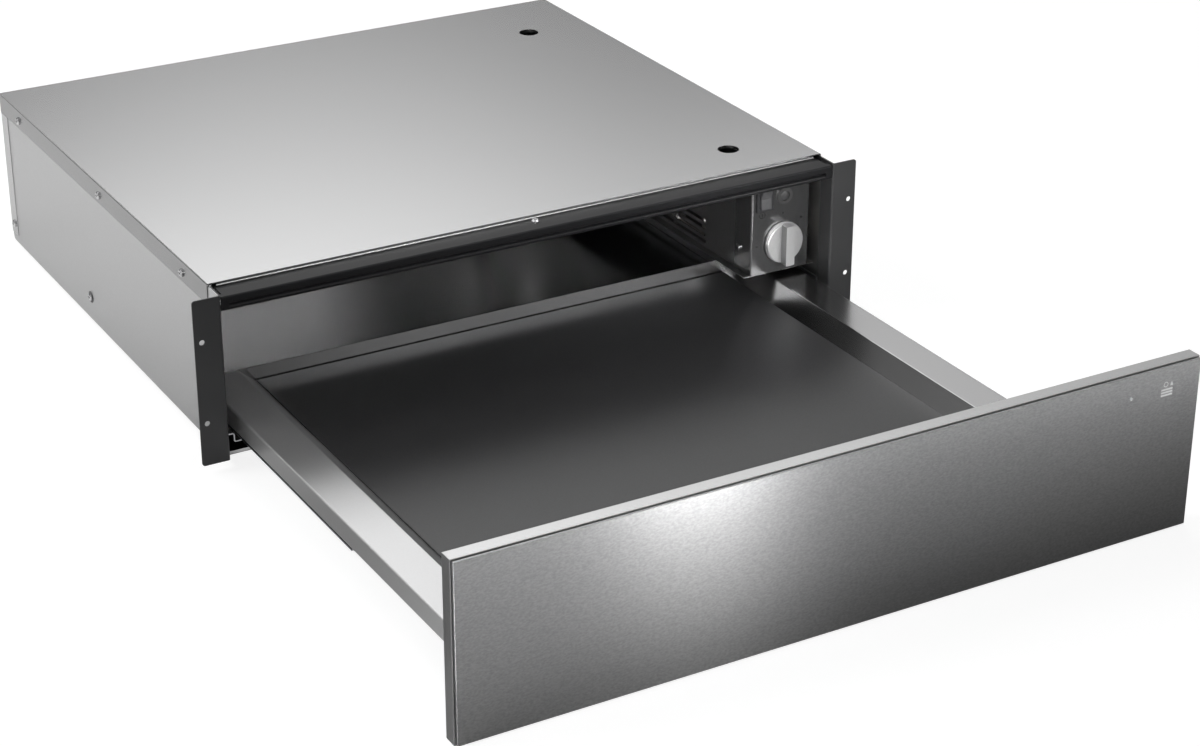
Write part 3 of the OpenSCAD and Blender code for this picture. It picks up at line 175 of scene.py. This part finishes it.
def blend_colours(tree, value, dark, light):
    node = tree.nodes.new("ShaderNodeMix")
    node.data_type = "RGBA"
    node.inputs["A"].default_value = (*dark, 1)
    node.inputs["B"].default_value = (*light, 1)
    tree.links.new(value, node.inputs["Factor"])
    return node.outputs["Result"]


def bump(tree, shader, height, strength, distance):
    node = tree.nodes.new("ShaderNodeBump")
    node.inputs["Strength"].default_value = strength
    node.inputs["Distance"].default_value = distance
    tree.links.new(height, node.inputs["Height"])
    tree.links.new(node.outputs["Normal"], shader.inputs["Normal"])


# Materials: every one is a node tree over the object's own coordinates
FINE_DETAIL, FINE_ROUGH = 3, 0.6
METAL_GRAIN_HEIGHT = 0.2 * MM
COAT_GRAIN_HEIGHT = 0.1 * MM
COAT_PATCHES = 25
COAT_TONES = (0.92, 1.06)
COAT_GLOSS = (-0.04, 0.06)
RIB_STRETCH = (1, 1, 6)
RIB_SCALE = 260
RIB_TONES = (0.7, 1.2)
RIB_GLOSS = 0.1
PRINT_GRAIN = 2400
PRINT_ROUGHNESS = 0.55
PRINT_DARK = 0.85
BRUSHED_ANISOTROPY = 0.8
# Painted shade on the faces that look to the side: how far a face has to look to the side before
# its tone changes, and where the change is whole
SHADED_SIDE_NORMAL = (0.8, 0.98)


def new_material(name, **sockets):
    """A material, with its shader's own sockets by name: a _ stands for a space."""
    material = bpy.data.materials.new(name)
    material.use_nodes = True
    shader = material.node_tree.nodes["Principled BSDF"]
    for key, value in sockets.items():
        shader.inputs[key.replace("_", " ")].default_value = value
    return material, material.node_tree, shader


def shade(tone, amount):
    return tuple(channel * amount for channel in tone)


def painted_side_shade(tree, colour, share):
    """The colour with painted shade: darker on the faces that look along the piece's own x axis.
    """
    sideways = maths(tree, "ABSOLUTE", split_axes(tree, texture_coordinates(tree, "Normal"))["X"])
    scale = tree.nodes.new("ShaderNodeVectorMath")
    scale.operation = "SCALE"
    tree.links.new(colour, scale.inputs[0])
    tree.links.new(ramp(tree, sideways, 1, share, *SHADED_SIDE_NORMAL), scale.inputs["Scale"])
    return scale.outputs["Vector"]


def sheet_metal(
    name, tone, rough, grain=900, stretch=(1, 1, 1), spread=0.05, relief=0, side=1, metallic=1.0
):
    """Sheet steel: a fine grain in its tone, and painted shade on the faces that look along x when
    side is below 1.
    """
    material, tree, shader = new_material(name, Metallic=metallic, Roughness=rough)
    fine = noise(tree, coordinates(tree, stretch), grain, FINE_DETAIL, FINE_ROUGH)
    dark, light = shade(tone, 1 - spread), shade(tone, 1 + spread / 2)
    colour = blend_colours(tree, ramp(tree, fine, 0, 1), dark, light)
    # A side below 1 paints shade on the faces that look along x
    if side != 1:
        colour = painted_side_shade(tree, colour, side)
    tree.links.new(colour, shader.inputs["Base Color"])
    if relief:
        bump(tree, shader, fine, relief, METAL_GRAIN_HEIGHT)
    return material


def brushed(name, tone, rough, grain, stretch, spread):
    """Stainless steel with a level brushed grain, which draws highlights out upright."""
    material = sheet_metal(name, tone, rough, grain, stretch, spread)
    tree = material.node_tree
    shader = tree.nodes["Principled BSDF"]
    shader.inputs["Anisotropic"].default_value = BRUSHED_ANISOTROPY
    upright = tree.nodes.new("ShaderNodeCombineXYZ")
    upright.inputs["Z"].default_value = 1
    tree.links.new(upright.outputs["Vector"], shader.inputs["Tangent"])
    return material


def coated(name, tone, rough, grain=1500, relief=0.15, specular=0.5):
    """Powder coat, moulding or rubber: a fine even relief and a slight change of gloss."""
    material, tree, shader = new_material(name, Specular_IOR_Level=specular)
    fine = noise(tree, coordinates(tree), grain, FINE_DETAIL, FINE_ROUGH)
    slow = noise(tree, coordinates(tree), COAT_PATCHES)
    dark, light = (shade(tone, amount) for amount in COAT_TONES)
    colour = blend_colours(tree, ramp(tree, slow, 0, 1), dark, light)
    tree.links.new(colour, shader.inputs["Base Color"])
    gloss = ramp(tree, fine, *(rough + change for change in COAT_GLOSS))
    tree.links.new(gloss, shader.inputs["Roughness"])
    bump(tree, shader, fine, relief, COAT_GRAIN_HEIGHT)
    return material


def glass_like(name, tone, rough):
    """A tinted lens with faint ribs inside."""
    material, tree, shader = new_material(name, Coat_Weight=0.6)
    ribs = noise(tree, coordinates(tree, RIB_STRETCH), RIB_SCALE, 1)
    dark, light = (shade(tone, amount) for amount in RIB_TONES)
    colour = blend_colours(tree, ramp(tree, ribs, 0, 1), dark, light)
    tree.links.new(colour, shader.inputs["Base Color"])
    tree.links.new(ramp(tree, ribs, rough, rough + RIB_GLOSS), shader.inputs["Roughness"])
    return material


def print_material(name, tone):
    """Screen print: slightly uneven ink."""
    material, tree, shader = new_material(name, Roughness=PRINT_ROUGHNESS)
    speck = noise(tree, coordinates(tree), PRINT_GRAIN)
    colour = blend_colours(tree, ramp(tree, speck, 0, 1), shade(tone, PRINT_DARK), tone)
    tree.links.new(colour, shader.inputs["Base Color"])
    return material


STEEL = (0.565, 0.565, 0.567)
# One material for each slot of the record
MATERIALS = {
    # The cover's faces that look along x are darker: painted shade (side)
    "cover_steel": sheet_metal("cover_steel", shade(STEEL, 1.05), 0.22, spread=0.03, side=0.55),
    "case_steel": sheet_metal("case_steel", STEEL, 0.36, spread=0.04),
    "black_paint": coated("black_paint", (0.037, 0.037, 0.038), 0.42, 1800, 0.2),
    "screw_steel": sheet_metal("screw_steel", (0.72, 0.72, 0.73), 0.22),
    "rail_steel": sheet_metal("rail_steel", (0.55, 0.56, 0.57), 0.28, 900, (1, 0.1, 1)),
    "ball_cage": sheet_metal("ball_cage", (0.62, 0.58, 0.46), 0.26),
    "housing_steel": sheet_metal("housing_steel", shade(STEEL, 0.8), 0.34),
    "plate_paint": sheet_metal("plate_paint", (0.20, 0.20, 0.202), 0.20, metallic=0.85),
    "moulding": coated("moulding", (0.70, 0.67, 0.60), 0.45, 900, 0.1),
    "black_plastic": coated("black_plastic", (0.028, 0.028, 0.030), 0.34, 1500, 0.1),
    "lamp_ring": sheet_metal("lamp_ring", (0.46, 0.46, 0.46), 0.25),
    "lamp_lens": glass_like("lamp_lens", (0.055, 0.055, 0.056), 0.15),
    "element_tube": sheet_metal(
        "element_tube", (0.50, 0.48, 0.46), 0.3, 500, (1, 0.2, 1), spread=0.2, relief=0.02
    ),
    "motor_iron": sheet_metal(
        "motor_iron", (0.26, 0.26, 0.27), 0.5, 600, spread=0.2, relief=0.02
    ),
    "impeller": sheet_metal("impeller", (0.62, 0.63, 0.64), 0.35, 700),
    "tray_steel": sheet_metal("tray_steel", STEEL, 0.22, spread=0.03),
    "mat": coated("mat", (0.018, 0.018, 0.019), 0.42, 1400, 0.25, specular=0.8),
    "frame_alu": sheet_metal("frame_alu", (0.53, 0.53, 0.53), 0.30, spread=0.04),
    # The front sheet's brushed steel is the steel made darker: painted shade for the dim floor
    # that it mirrors
    "front_steel": brushed("front_steel", shade(STEEL, 0.75), 0.29, 800, (0.5, 1, 1), 0.18),
    "core": coated("core", (0.62, 0.56, 0.46), 0.7, 300, 0.4),
    "pad": coated("pad", (0.012, 0.012, 0.012), 0.7, 500, 0.2),
    "light_lens": glass_like("light_lens", (0.55, 0.57, 0.58), 0.15),
    "buffer": coated("buffer", (0.55, 0.55, 0.54), 0.4, 700, 0.1),
    # The knob's faces that look along x, the grip's sides and the skirt's flanks, are darker:
    # painted shade (side)
    "knob_metal": sheet_metal(
        "knob_metal", (0.74, 0.74, 0.74), 0.34, spread=0.03, side=0.38, metallic=0.7
    ),
}
# Nodes that look unlike the rest of their slot
CASE_INSIDE = sheet_metal("case_inside", STEEL, 0.21)
OWN_LOOK = {
    "tray_wall_left": sheet_metal("left_wall_steel", STEEL, 0.33, spread=0.03, metallic=0.8),
    # The right tray wall is the tray's steel made darker: painted shade
    "tray_wall_right": sheet_metal("right_wall_shaded_steel", shade(STEEL, 0.66), 0.22, spread=0.03),
    # The front rail is the black paint made darker still: painted shade
    "front_rail": coated("rail_shaded_paint", (0.010, 0.010, 0.011), 0.42, 1800, 0.1, specular=0.25),
    "rocker": coated("rocker_face", (0.075, 0.075, 0.078), 0.30, 1500, 0.1),
    "base_plate": CASE_INSIDE,
    "back_panel": CASE_INSIDE,
}
LIGHT_PRINT = print_material("light_print", (0.78, 0.78, 0.78))
# Dark ink for the dial's print, and painted shade in the screws' cross recesses
DARK_PRINT_AND_RECESS_SHADE = print_material("dark_print_and_recess_shade", (0.006, 0.006, 0.006))

# CAD nodes: finish and soft edges
EDGE_RADIUS = 0.25 * MM
EDGE_SEGMENTS = 2
EDGE_ANGLE = 40
# Long edges in plain view are rounder, and the faces beside them stay level in the shading
WIDE_EDGES = {"front_sheet": 0.6 * MM, "top_cover": 0.4 * MM, "tray_wall_right": 0.4 * MM}
WIDE_SEGMENTS = 3
FLAT_ANGLE = 0.5
LEVEL_WEIGHT = 100
# With the overlap clamped, the small hole for the light would narrow this one's bevel
FREE_BEVEL = "front_sheet"
NO_BEVEL = ("screws", "cage", "impeller", "motor", "tray_rear_wall")


def soften_edges(name, node):
    wide = name in WIDE_EDGES
    weld = node.modifiers.new("weld", "WELD")
    weld.merge_threshold = MERGE_GAP
    if wide:
        flat = node.modifiers.new("flat", "DECIMATE")
        flat.decimate_type = "DISSOLVE"
        flat.angle_limit = math.radians(FLAT_ANGLE)
    bevel = node.modifiers.new("bevel", "BEVEL")
    bevel.width = WIDE_EDGES.get(name, EDGE_RADIUS)
    bevel.use_clamp_overlap = name != FREE_BEVEL
    bevel.segments = WIDE_SEGMENTS if wide else EDGE_SEGMENTS
    bevel.limit_method = "ANGLE"
    bevel.angle_limit = math.radians(EDGE_ANGLE)
    bevel.harden_normals = False
    if wide:
        level = node.modifiers.new("level", "WEIGHTED_NORMAL")
        level.mode = "FACE_AREA"
        level.weight = LEVEL_WEIGHT


def dress_nodes():
    slots = {s["node"]: s["material_slot"] for s in frame["record"]["subparts"]}
    for name, node in frame["nodes"].items():
        node.data.materials.clear()
        node.data.materials.append(OWN_LOOK.get(name, MATERIALS[slots[name]]))
        if not any(word in name for word in NO_BEVEL):
            soften_edges(name, node)


# Small pieces: outlines in millimetres, raised off the face that carries them
# For each side that a face looks to: its right and its up
AXES = {
    "-x": ((0, -1, 0), (0, 0, 1)), "+x": ((0, 1, 0), (0, 0, 1)),
    "-y": ((1, 0, 0), (0, 0, 1)), "+y": ((-1, 0, 0), (0, 0, 1)),
    "+z": ((1, 0, 0), (0, 1, 0)),
}
PRINT_THICKNESS = 0.03
RECESS_THICKNESS = 0.04
RECESS_REACH, RECESS_HALF_WIDTH = 1.6, 0.35
# A washer's inner radius, its width and thickness, and how far it is below the screw head's top
WASHER_RADIUS, WASHER_WIDTH, WASHER_THICKNESS = 3.3, 1.7, 0.35
WASHER_DEPTH = 2.0
SCREW_BODIES = {
    "case_screws": "case", "runner_screws": "case", "housing_screws": "case",
    "latch_screws": "case", "bracket_screws": "drawer",
}
SCREW_SIDES = {"latch_screws": "+z", "bracket_screws": "+y", "housing_screws": "-x"}
# A case screw this near the middle is the one on the front rail, and looks up
MIDDLE = 5 * MM


def mesh_object(name, bm, material):
    """An object with the mesh that bm holds, which is freed."""
    mesh = bpy.data.meshes.new(name)
    bmesh.ops.recalc_face_normals(bm, faces=bm.faces)
    bm.to_mesh(mesh)
    bm.free()
    mesh.materials.append(material)
    return link(bpy.data.objects.new(name, mesh))


def add_piece(name, bm, material, body):
    piece = mesh_object(name, bm, material)
    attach(piece, body)


def islands(name):
    """The lowest and highest corner of each separate solid of a CAD node."""
    bm = bmesh.new()
    bm.from_mesh(frame["nodes"][name].data)
    bmesh.ops.remove_doubles(bm, verts=bm.verts, dist=MERGE_GAP)
    left, boxes = set(bm.verts), []
    while left:
        front = [left.pop()]
        low, high = front[0].co.copy(), front[0].co.copy()
        while front:
            vert = front.pop()
            low = Vector(map(min, low, vert.co))
            high = Vector(map(max, high, vert.co))
            for edge in vert.link_edges:
                other = edge.other_vert(vert)
                if other in left:
                    left.remove(other)
                    front.append(other)
        boxes.append((low, high))
    bm.free()
    return sorted(boxes, key=lambda box: tuple(round(c, 5) for c in box[0]))


def prism(bm, outline, place, side, thickness):
    """An outline drawn on a face that looks to a side, and raised off it."""
    right, up = (Vector(axis) for axis in AXES[side])
    out = right.cross(up).normalized()
    ground = [bm.verts.new(place + (right * x + up * y) * MM) for x, y in outline]
    top = [bm.verts.new(vert.co + out * thickness * MM) for vert in ground]
    bm.faces.new(top)
    bm.faces.new(ground[::-1])
    for i, vert in enumerate(ground):
        after = (i + 1) % len(ground)
        bm.faces.new((vert, ground[after], top[after], top[i]))


def polar(radius, angle, centre=(0, 0)):
    return centre[0] + radius * math.cos(angle), centre[1] + radius * math.sin(angle)


def ring(bm, radius, width, place, side, thickness, centre=(0, 0), steps=32):
    """A flat ring made of short pieces."""
    rim = radius + width
    for i in range(steps):
        start, end = (2 * math.pi * step / steps for step in (i, i + 1))
        corners = [(radius, start), (rim, start), (rim, end), (radius, end)]
        outline = [polar(reach, angle, centre) for reach, angle in corners]
        prism(bm, outline, place, side, thickness)


def disc(radius, centre=(0, 0), steps=20):
    return [polar(radius, 2 * math.pi * step / steps, centre) for step in range(steps)]


def cross(reach, half):
    """A plus sign: one inner corner with its neighbours, turned to all four sides."""
    corners = []
    arm = [(-reach, -half), (-half, -half), (-half, -reach)]
    for _ in range(4):
        corners += arm
        arm = [(-y, x) for x, y in arm]
    return corners


def bar(width, height, centre=(0, 0)):
    x, y = centre
    return [
        (x - width / 2, y - height / 2), (x + width / 2, y - height / 2),
        (x + width / 2, y + height / 2), (x - width / 2, y + height / 2),
    ]


def head_place(box, side):
    """The middle of a screw head's top."""
    low, high = box
    place = (low + high) / 2
    axis = "xyz".index(side[1])
    place[axis] = low[axis] if side[0] == "-" else high[axis]
    return place


def screw_side(name, box):
    low, high = box
    if name == "case_screws" and abs(low.x + high.x) / 2 < MIDDLE:
        return "+z"
    return SCREW_SIDES.get(name) or ("-x" if low.x < 0 else "+x")


def make_screw_recess_shades():
    # Flat dark crosses on the screw heads: painted shade where the cross recesses are
    outline = cross(RECESS_REACH, RECESS_HALF_WIDTH)
    for name, body in SCREW_BODIES.items():
        bm = bmesh.new()
        for box in islands(name):
            side = screw_side(name, box)
            prism(bm, outline, head_place(box, side), side, RECESS_THICKNESS)
        add_piece(f"{name}_recess_shades", bm, DARK_PRINT_AND_RECESS_SHADE, body)


def make_screw_washers():
    """Dark washers under the heads of the runners' screws."""
    bm = bmesh.new()
    for box in islands("runner_screws"):
        side = screw_side("runner_screws", box)
        place = head_place(box, side)
        place.x += (WASHER_DEPTH if side == "-x" else -WASHER_DEPTH) * MM
        ring(bm, WASHER_RADIUS, WASHER_WIDTH, place, side, WASHER_THICKNESS)
    material = MATERIALS["black_plastic"]
    add_piece("runner_screw_washers", bm, material, "case")


# The marks stand on a circle round the knob. For each: kind, angle and size. A ring's inner radius
# and a bar's width and height go with the size
DIAL_RADIUS = 25.6
DIAL_RING, DIAL_RING_WIDTH = 0.7, 0.45
DIAL_BAR = (1.2, 2.4)
DIAL_MARKS = (
    ("disc", 0, 0.9), ("disc", 45, 1.05), ("bar", 90, 0.75), ("ring", 180, 0.9),
    ("disc", 225, 0.6), ("bar", 270, 0.75), ("ring", 315, 1.2),
)
# The on-off mark, from the plate's lower left corner
SWITCH_MARK_PLACE = (10.7, 53.4)
SWITCH_MARK_RING = (2.4, 0.7)
SWITCH_MARK_BAR = (0.8, 3.0)


def make_dial_print():
    """Marks round the knob and the on-off mark under the switch."""
    shaft_low, shaft_high = (Vector(corner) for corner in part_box("thermostat_shaft"))
    plate_low = Vector(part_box("control_plate")[0])
    place = (shaft_low + shaft_high) / 2
    place.y = plate_low.y
    bm = bmesh.new()
    for kind, degrees, size in DIAL_MARKS:
        centre = polar(DIAL_RADIUS, math.radians(degrees))
        if kind == "ring":
            radius, width = size * DIAL_RING, DIAL_RING_WIDTH
            ring(bm, radius, width, place, "-y", PRINT_THICKNESS, centre, steps=20)
        elif kind == "bar":
            width, height = (size * share for share in DIAL_BAR)
            prism(bm, bar(width, height, centre), place, "-y", PRINT_THICKNESS)
        else:
            prism(bm, disc(size, centre), place, "-y", PRINT_THICKNESS)
    right, up = SWITCH_MARK_PLACE
    mark = plate_low + Vector((right, 0, up)) * MM
    ring(bm, *SWITCH_MARK_RING, mark, "-y", PRINT_THICKNESS)
    prism(bm, bar(*SWITCH_MARK_BAR), mark, "-y", PRINT_THICKNESS)
    add_piece("dial_print", bm, DARK_PRINT_AND_RECESS_SHADE, "case")


# From the front sheet's right edge and from its top. The rest is drawn round that place
SIGN_INSET = (29.6, 16.7)
SIGN_BARS = (-5.2, -3.0, -0.8)
SIGN_BAR_SIZE = (10.2, 1.3)
SIGN_CUP = (1.5, 0.6)
SIGN_CUP_PLACE = (-1.2, 3.2)
SIGN_COVER = [(2.6, 1.6), (5.4, 1.6), (4.2, 4.6), (3.8, 4.6)]


def make_front_sign():
    """A plain sign for warmed tableware: three bars, a cup and a cover."""
    sheet_low, sheet_high = (Vector(corner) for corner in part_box("front_sheet"))
    left, down = SIGN_INSET
    place = sheet_high - Vector((left, 0, down)) * MM
    place.y = sheet_low.y
    bm = bmesh.new()
    for height in SIGN_BARS:
        prism(bm, bar(*SIGN_BAR_SIZE, (0, height)), place, "-y", PRINT_THICKNESS)
    ring(bm, *SIGN_CUP, place, "-y", PRINT_THICKNESS, SIGN_CUP_PLACE, steps=24)
    prism(bm, SIGN_COVER, place, "-y", PRINT_THICKNESS)
    add_piece("front_sign", bm, LIGHT_PRINT, "drawer")


# Floor
FLOOR_HALF = 14.0
FLOOR_GAP = 0.2 * MM
FLOOR_TONE = 0.82
FLOOR_TONE_SEEN = 0.30
FLOOR_GLOW = 0.80
FLOOR_GLOW_GLOSSY = 0.03
FLOOR_ROUGHNESS = 0.9
# Painted shadows on the floor, which only reflections see: middle, how far x counts, least share
# left, inner and outer edge
FLOOR_PAINTED_SHADOWS = (
    ((0.5, -0.7), 1, 0.1, (0.2, 1.3)),
    ((-0.42, -0.20), 1, 0.25, (0.12, 0.34)),
    ((0, -0.44), 0.2, 0.35, (0.03, 0.10)),
    ((0.42, -0.12), 1, 0.25, (0.10, 0.26)),
)
# A glow of the floor under the object only, for the views from below: half sizes with their soft
# rims, and the middle in y
UNDER_GLOW = 0.4
UNDER_WIDTH = (0.255, 0.272)
UNDER_DEPTH = (0.45, 0.468)
UNDER_MIDDLE = 0.042


def camera_and_glossy(tree, seen, glossy, otherwise=0.0):
    """One number for what the camera sees, one for gloss and glass, one for the rest."""
    path = tree.nodes.new("ShaderNodeLightPath")
    kinds = (path.outputs["Is Glossy Ray"], path.outputs["Is Transmission Ray"])
    inner = ramp(tree, maths(tree, "MAXIMUM", *kinds), otherwise, glossy, 0, 1)
    return by_ray(tree, "Is Camera Ray", inner, seen)


def floor_with_painted_shadows(tree):
    """How bright the floor looks in reflections, with painted shadows before the panel and beside
    the drawer.
    """
    place = texture_coordinates(tree, "Object")
    near = None
    for (x, y), width_share, share, edges in FLOOR_PAINTED_SHADOWS:
        offset = vector_maths(tree, "SUBTRACT", place, (x, y, cad_box[0].z))
        squeezed = vector_maths(tree, "MULTIPLY", offset, (width_share, 1, 1))
        away = vector_maths(tree, "LENGTH", squeezed, result="Value")
        part = ramp(tree, away, share, 1, *edges)
        near = maths(tree, "MULTIPLY", near, part) if near else part
    return by_ray(tree, "Is Glossy Ray", 1, near)


def glow_under(tree):
    """The floor's glow under the object, which the camera doesn't see."""
    axes = split_axes(tree, texture_coordinates(tree, "Object"))
    path = tree.nodes.new("ShaderNodeLightPath")
    total = ramp(tree, path.outputs["Is Camera Ray"], UNDER_GLOW, 0, 0, 1)
    for axis, middle, edges in (("X", 0, UNDER_WIDTH), ("Y", UNDER_MIDDLE, UNDER_DEPTH)):
        away = maths(tree, "ABSOLUTE", maths(tree, "SUBTRACT", axes[axis], middle))
        total = maths(tree, "MULTIPLY", total, ramp(tree, away, 1, 0, *edges))
    return total


def see_through_from_below(tree, shader):
    """Makes the floor clear from below, where it would hide the object's underside."""
    side = tree.nodes.new("ShaderNodeNewGeometry")
    clear = tree.nodes.new("ShaderNodeBsdfTransparent")
    mix = tree.nodes.new("ShaderNodeMixShader")
    tree.links.new(side.outputs["Backfacing"], mix.inputs["Fac"])
    tree.links.new(shader.outputs["BSDF"], mix.inputs[1])
    tree.links.new(clear.outputs["BSDF"], mix.inputs[2])
    tree.links.new(mix.outputs["Shader"], tree.nodes["Material Output"].inputs["Surface"])


def make_floor():
    z = cad_box[0].z - FLOOR_GAP
    bm = bmesh.new()
    corners = ((-1, -1), (1, -1), (1, 1), (-1, 1))
    bm.faces.new([bm.verts.new((x * FLOOR_HALF, y * FLOOR_HALF, z)) for x, y in corners])
    material, tree, shader = new_material(
        "floor", Roughness=FLOOR_ROUGHNESS, Specular_IOR_Level=0, Emission_Color=(1, 1, 1, 1)
    )
    # share carries the painted shadows into the floor's tone and glow for reflections
    share = floor_with_painted_shadows(tree)
    tone = camera_and_glossy(tree, FLOOR_TONE_SEEN, FLOOR_TONE, FLOOR_TONE)
    tree.links.new(maths(tree, "MULTIPLY", tone, share), shader.inputs["Base Color"])
    glow = camera_and_glossy(tree, FLOOR_GLOW, FLOOR_GLOW_GLOSSY)
    total = maths(tree, "ADD", maths(tree, "MULTIPLY", glow, share), glow_under(tree))
    tree.links.new(total, shader.inputs["Emission Strength"])
    see_through_from_below(tree, shader)
    mesh_object("studio_floor", bm, material)


# Sky: a low ambient and soft round patches
# Each patch has its azimuth and elevation, its level, and the angles of its outer and inner edge
SKY_AMBIENT = 0.06
# A broad glow nearly overhead, and a bright soft disc behind, which the cover mirrors
SKY_KEY = ((-60, 75), 0.50, (50, 10))
SKY_DISC = ((23, 32), 1.62, (14, 6))
# What the cover's left bend mirrors, and, from high at the front right, the bends in front
SKY_LEFT_BEND = ((-10, 22), 1.6, (10, 3))
SKY_FRONT_BENDS = ((128, 56), 2.0, (22, 8))
# To the right of the disc: the right tray rim, the mat and the panel's top edge
SKY_RIGHT = ((40, 28), 1.15, (10, 4))
# Above the disc: the mat's front half and the panel's top edge
SKY_UPPER = ((16, 44), 2.3, (14, 5))
# Broad glows to the left and right, for the views from the sides
SKY_LEFT_SIDE = ((-95, 22), 0.35, (42, 12))
SKY_RIGHT_SIDE = ((100, 20), 0.35, (42, 12))
# A faint glow in front, which the object mirrors when it is seen from behind
SKY_FRONT = ((180, 30), 0.2, (50, 15))
SKY_PARTS = (
    SKY_KEY, SKY_DISC, SKY_LEFT_BEND, SKY_FRONT_BENDS, SKY_RIGHT, SKY_UPPER, SKY_LEFT_SIDE,
    SKY_RIGHT_SIDE, SKY_FRONT,
)


def heading(azimuth, elevation):
    """A direction by its angle clockwise from +y, seen from above, and its angle above level."""
    around, above = math.radians(azimuth), math.radians(elevation)
    level = math.cos(above)
    return (math.sin(around) * level, math.cos(around) * level, math.sin(above))


def sky_part(tree, direction, where, level, edges):
    low, high = (math.cos(math.radians(edge)) for edge in edges)
    towards = vector_maths(tree, "DOT_PRODUCT", direction, heading(*where), "Value")
    patch = tree.nodes.new("ShaderNodeMapRange")
    patch.interpolation_type = "SMOOTHSTEP"
    patch.inputs["From Min"].default_value = low
    patch.inputs["From Max"].default_value = high
    patch.inputs["To Max"].default_value = level
    tree.links.new(towards, patch.inputs["Value"])
    return patch.outputs["Result"]


def make_world():
    world = bpy.data.worlds.new("studio")
    bpy.context.scene.world = world
    world.use_nodes = True
    tree = world.node_tree
    background = tree.nodes["Background"]
    background.inputs["Color"].default_value = (1, 1, 1, 1)
    direction = texture_coordinates(tree, "Generated")
    total = SKY_AMBIENT
    for part in SKY_PARTS:
        total = maths(tree, "ADD", sky_part(tree, direction, *part), total)
    tree.links.new(by_ray(tree, "Is Camera Ray", total, 1.0), background.inputs["Strength"])


# Lamps: name, place, target, size, power and spread
LAMPS = (
    ("key_box", (-3.2, 1.2, 3.2), (0, 0, 0), (1.5, 1.5), 60, 180),
    ("rear_box", (-0.95, 1.05, 0.85), (-0.55, 0.55, -0.07), (0.5, 0.5), 0.55, 60),
    ("mouth_box", (-0.75, -1.55, 0.75), (0.02, 0, 0.02), (0.25, 0.25), 0.3, 22),
    ("knob_box", (0.55, -1.5, 0.60), (0.197, -0.02, 0.035), (0.12, 0.12), 0.04, 8),
    ("panel_box", (-0.5, -1.66, 1.14), (0.22, -0.06, 0), (0.4, 0.4), 0.10, 22),
    ("depth_box", (0.645, -1.6, 0.80), (0.10, 0, 0.03), (0.35, 0.35), 0.075, 18),
    ("edge_box", (-0.85, -0.70, -0.04), (-0.29, -0.427, 0), (0.05, 0.06), 0.36, 40),
    ("front_box", (0.143, -0.927, 0.0), (-0.153, -0.427, 0.125), (0.10, 0.05), 0.14, 56),
    ("front_strip", (0.30, -0.93, 0.01), (0.06, -0.427, 0.14), (1.0, 0.04), 0.30, 56),
)


def make_lamp(name, place, target, size, power, spread):
    data = bpy.data.lights.new(name, "AREA")
    data.shape = "RECTANGLE"
    data.size, data.size_y = size
    data.energy = power
    data.spread = math.radians(spread)
    lamp = link(bpy.data.objects.new(name, data))
    lamp.location = place
    lamp.visible_camera = False
    lamp.rotation_euler = (Vector(target) - Vector(place)).to_track_quat("-Z", "Y").to_euler()


# Build
make_camera()
dress_nodes()
make_screw_recess_shades()
make_screw_washers()
make_dial_print()
make_front_sign()
make_floor()
make_world()
for lamp in LAMPS:
    make_lamp(*lamp)
bpy.context.scene.view_settings.view_transform = "Standard"
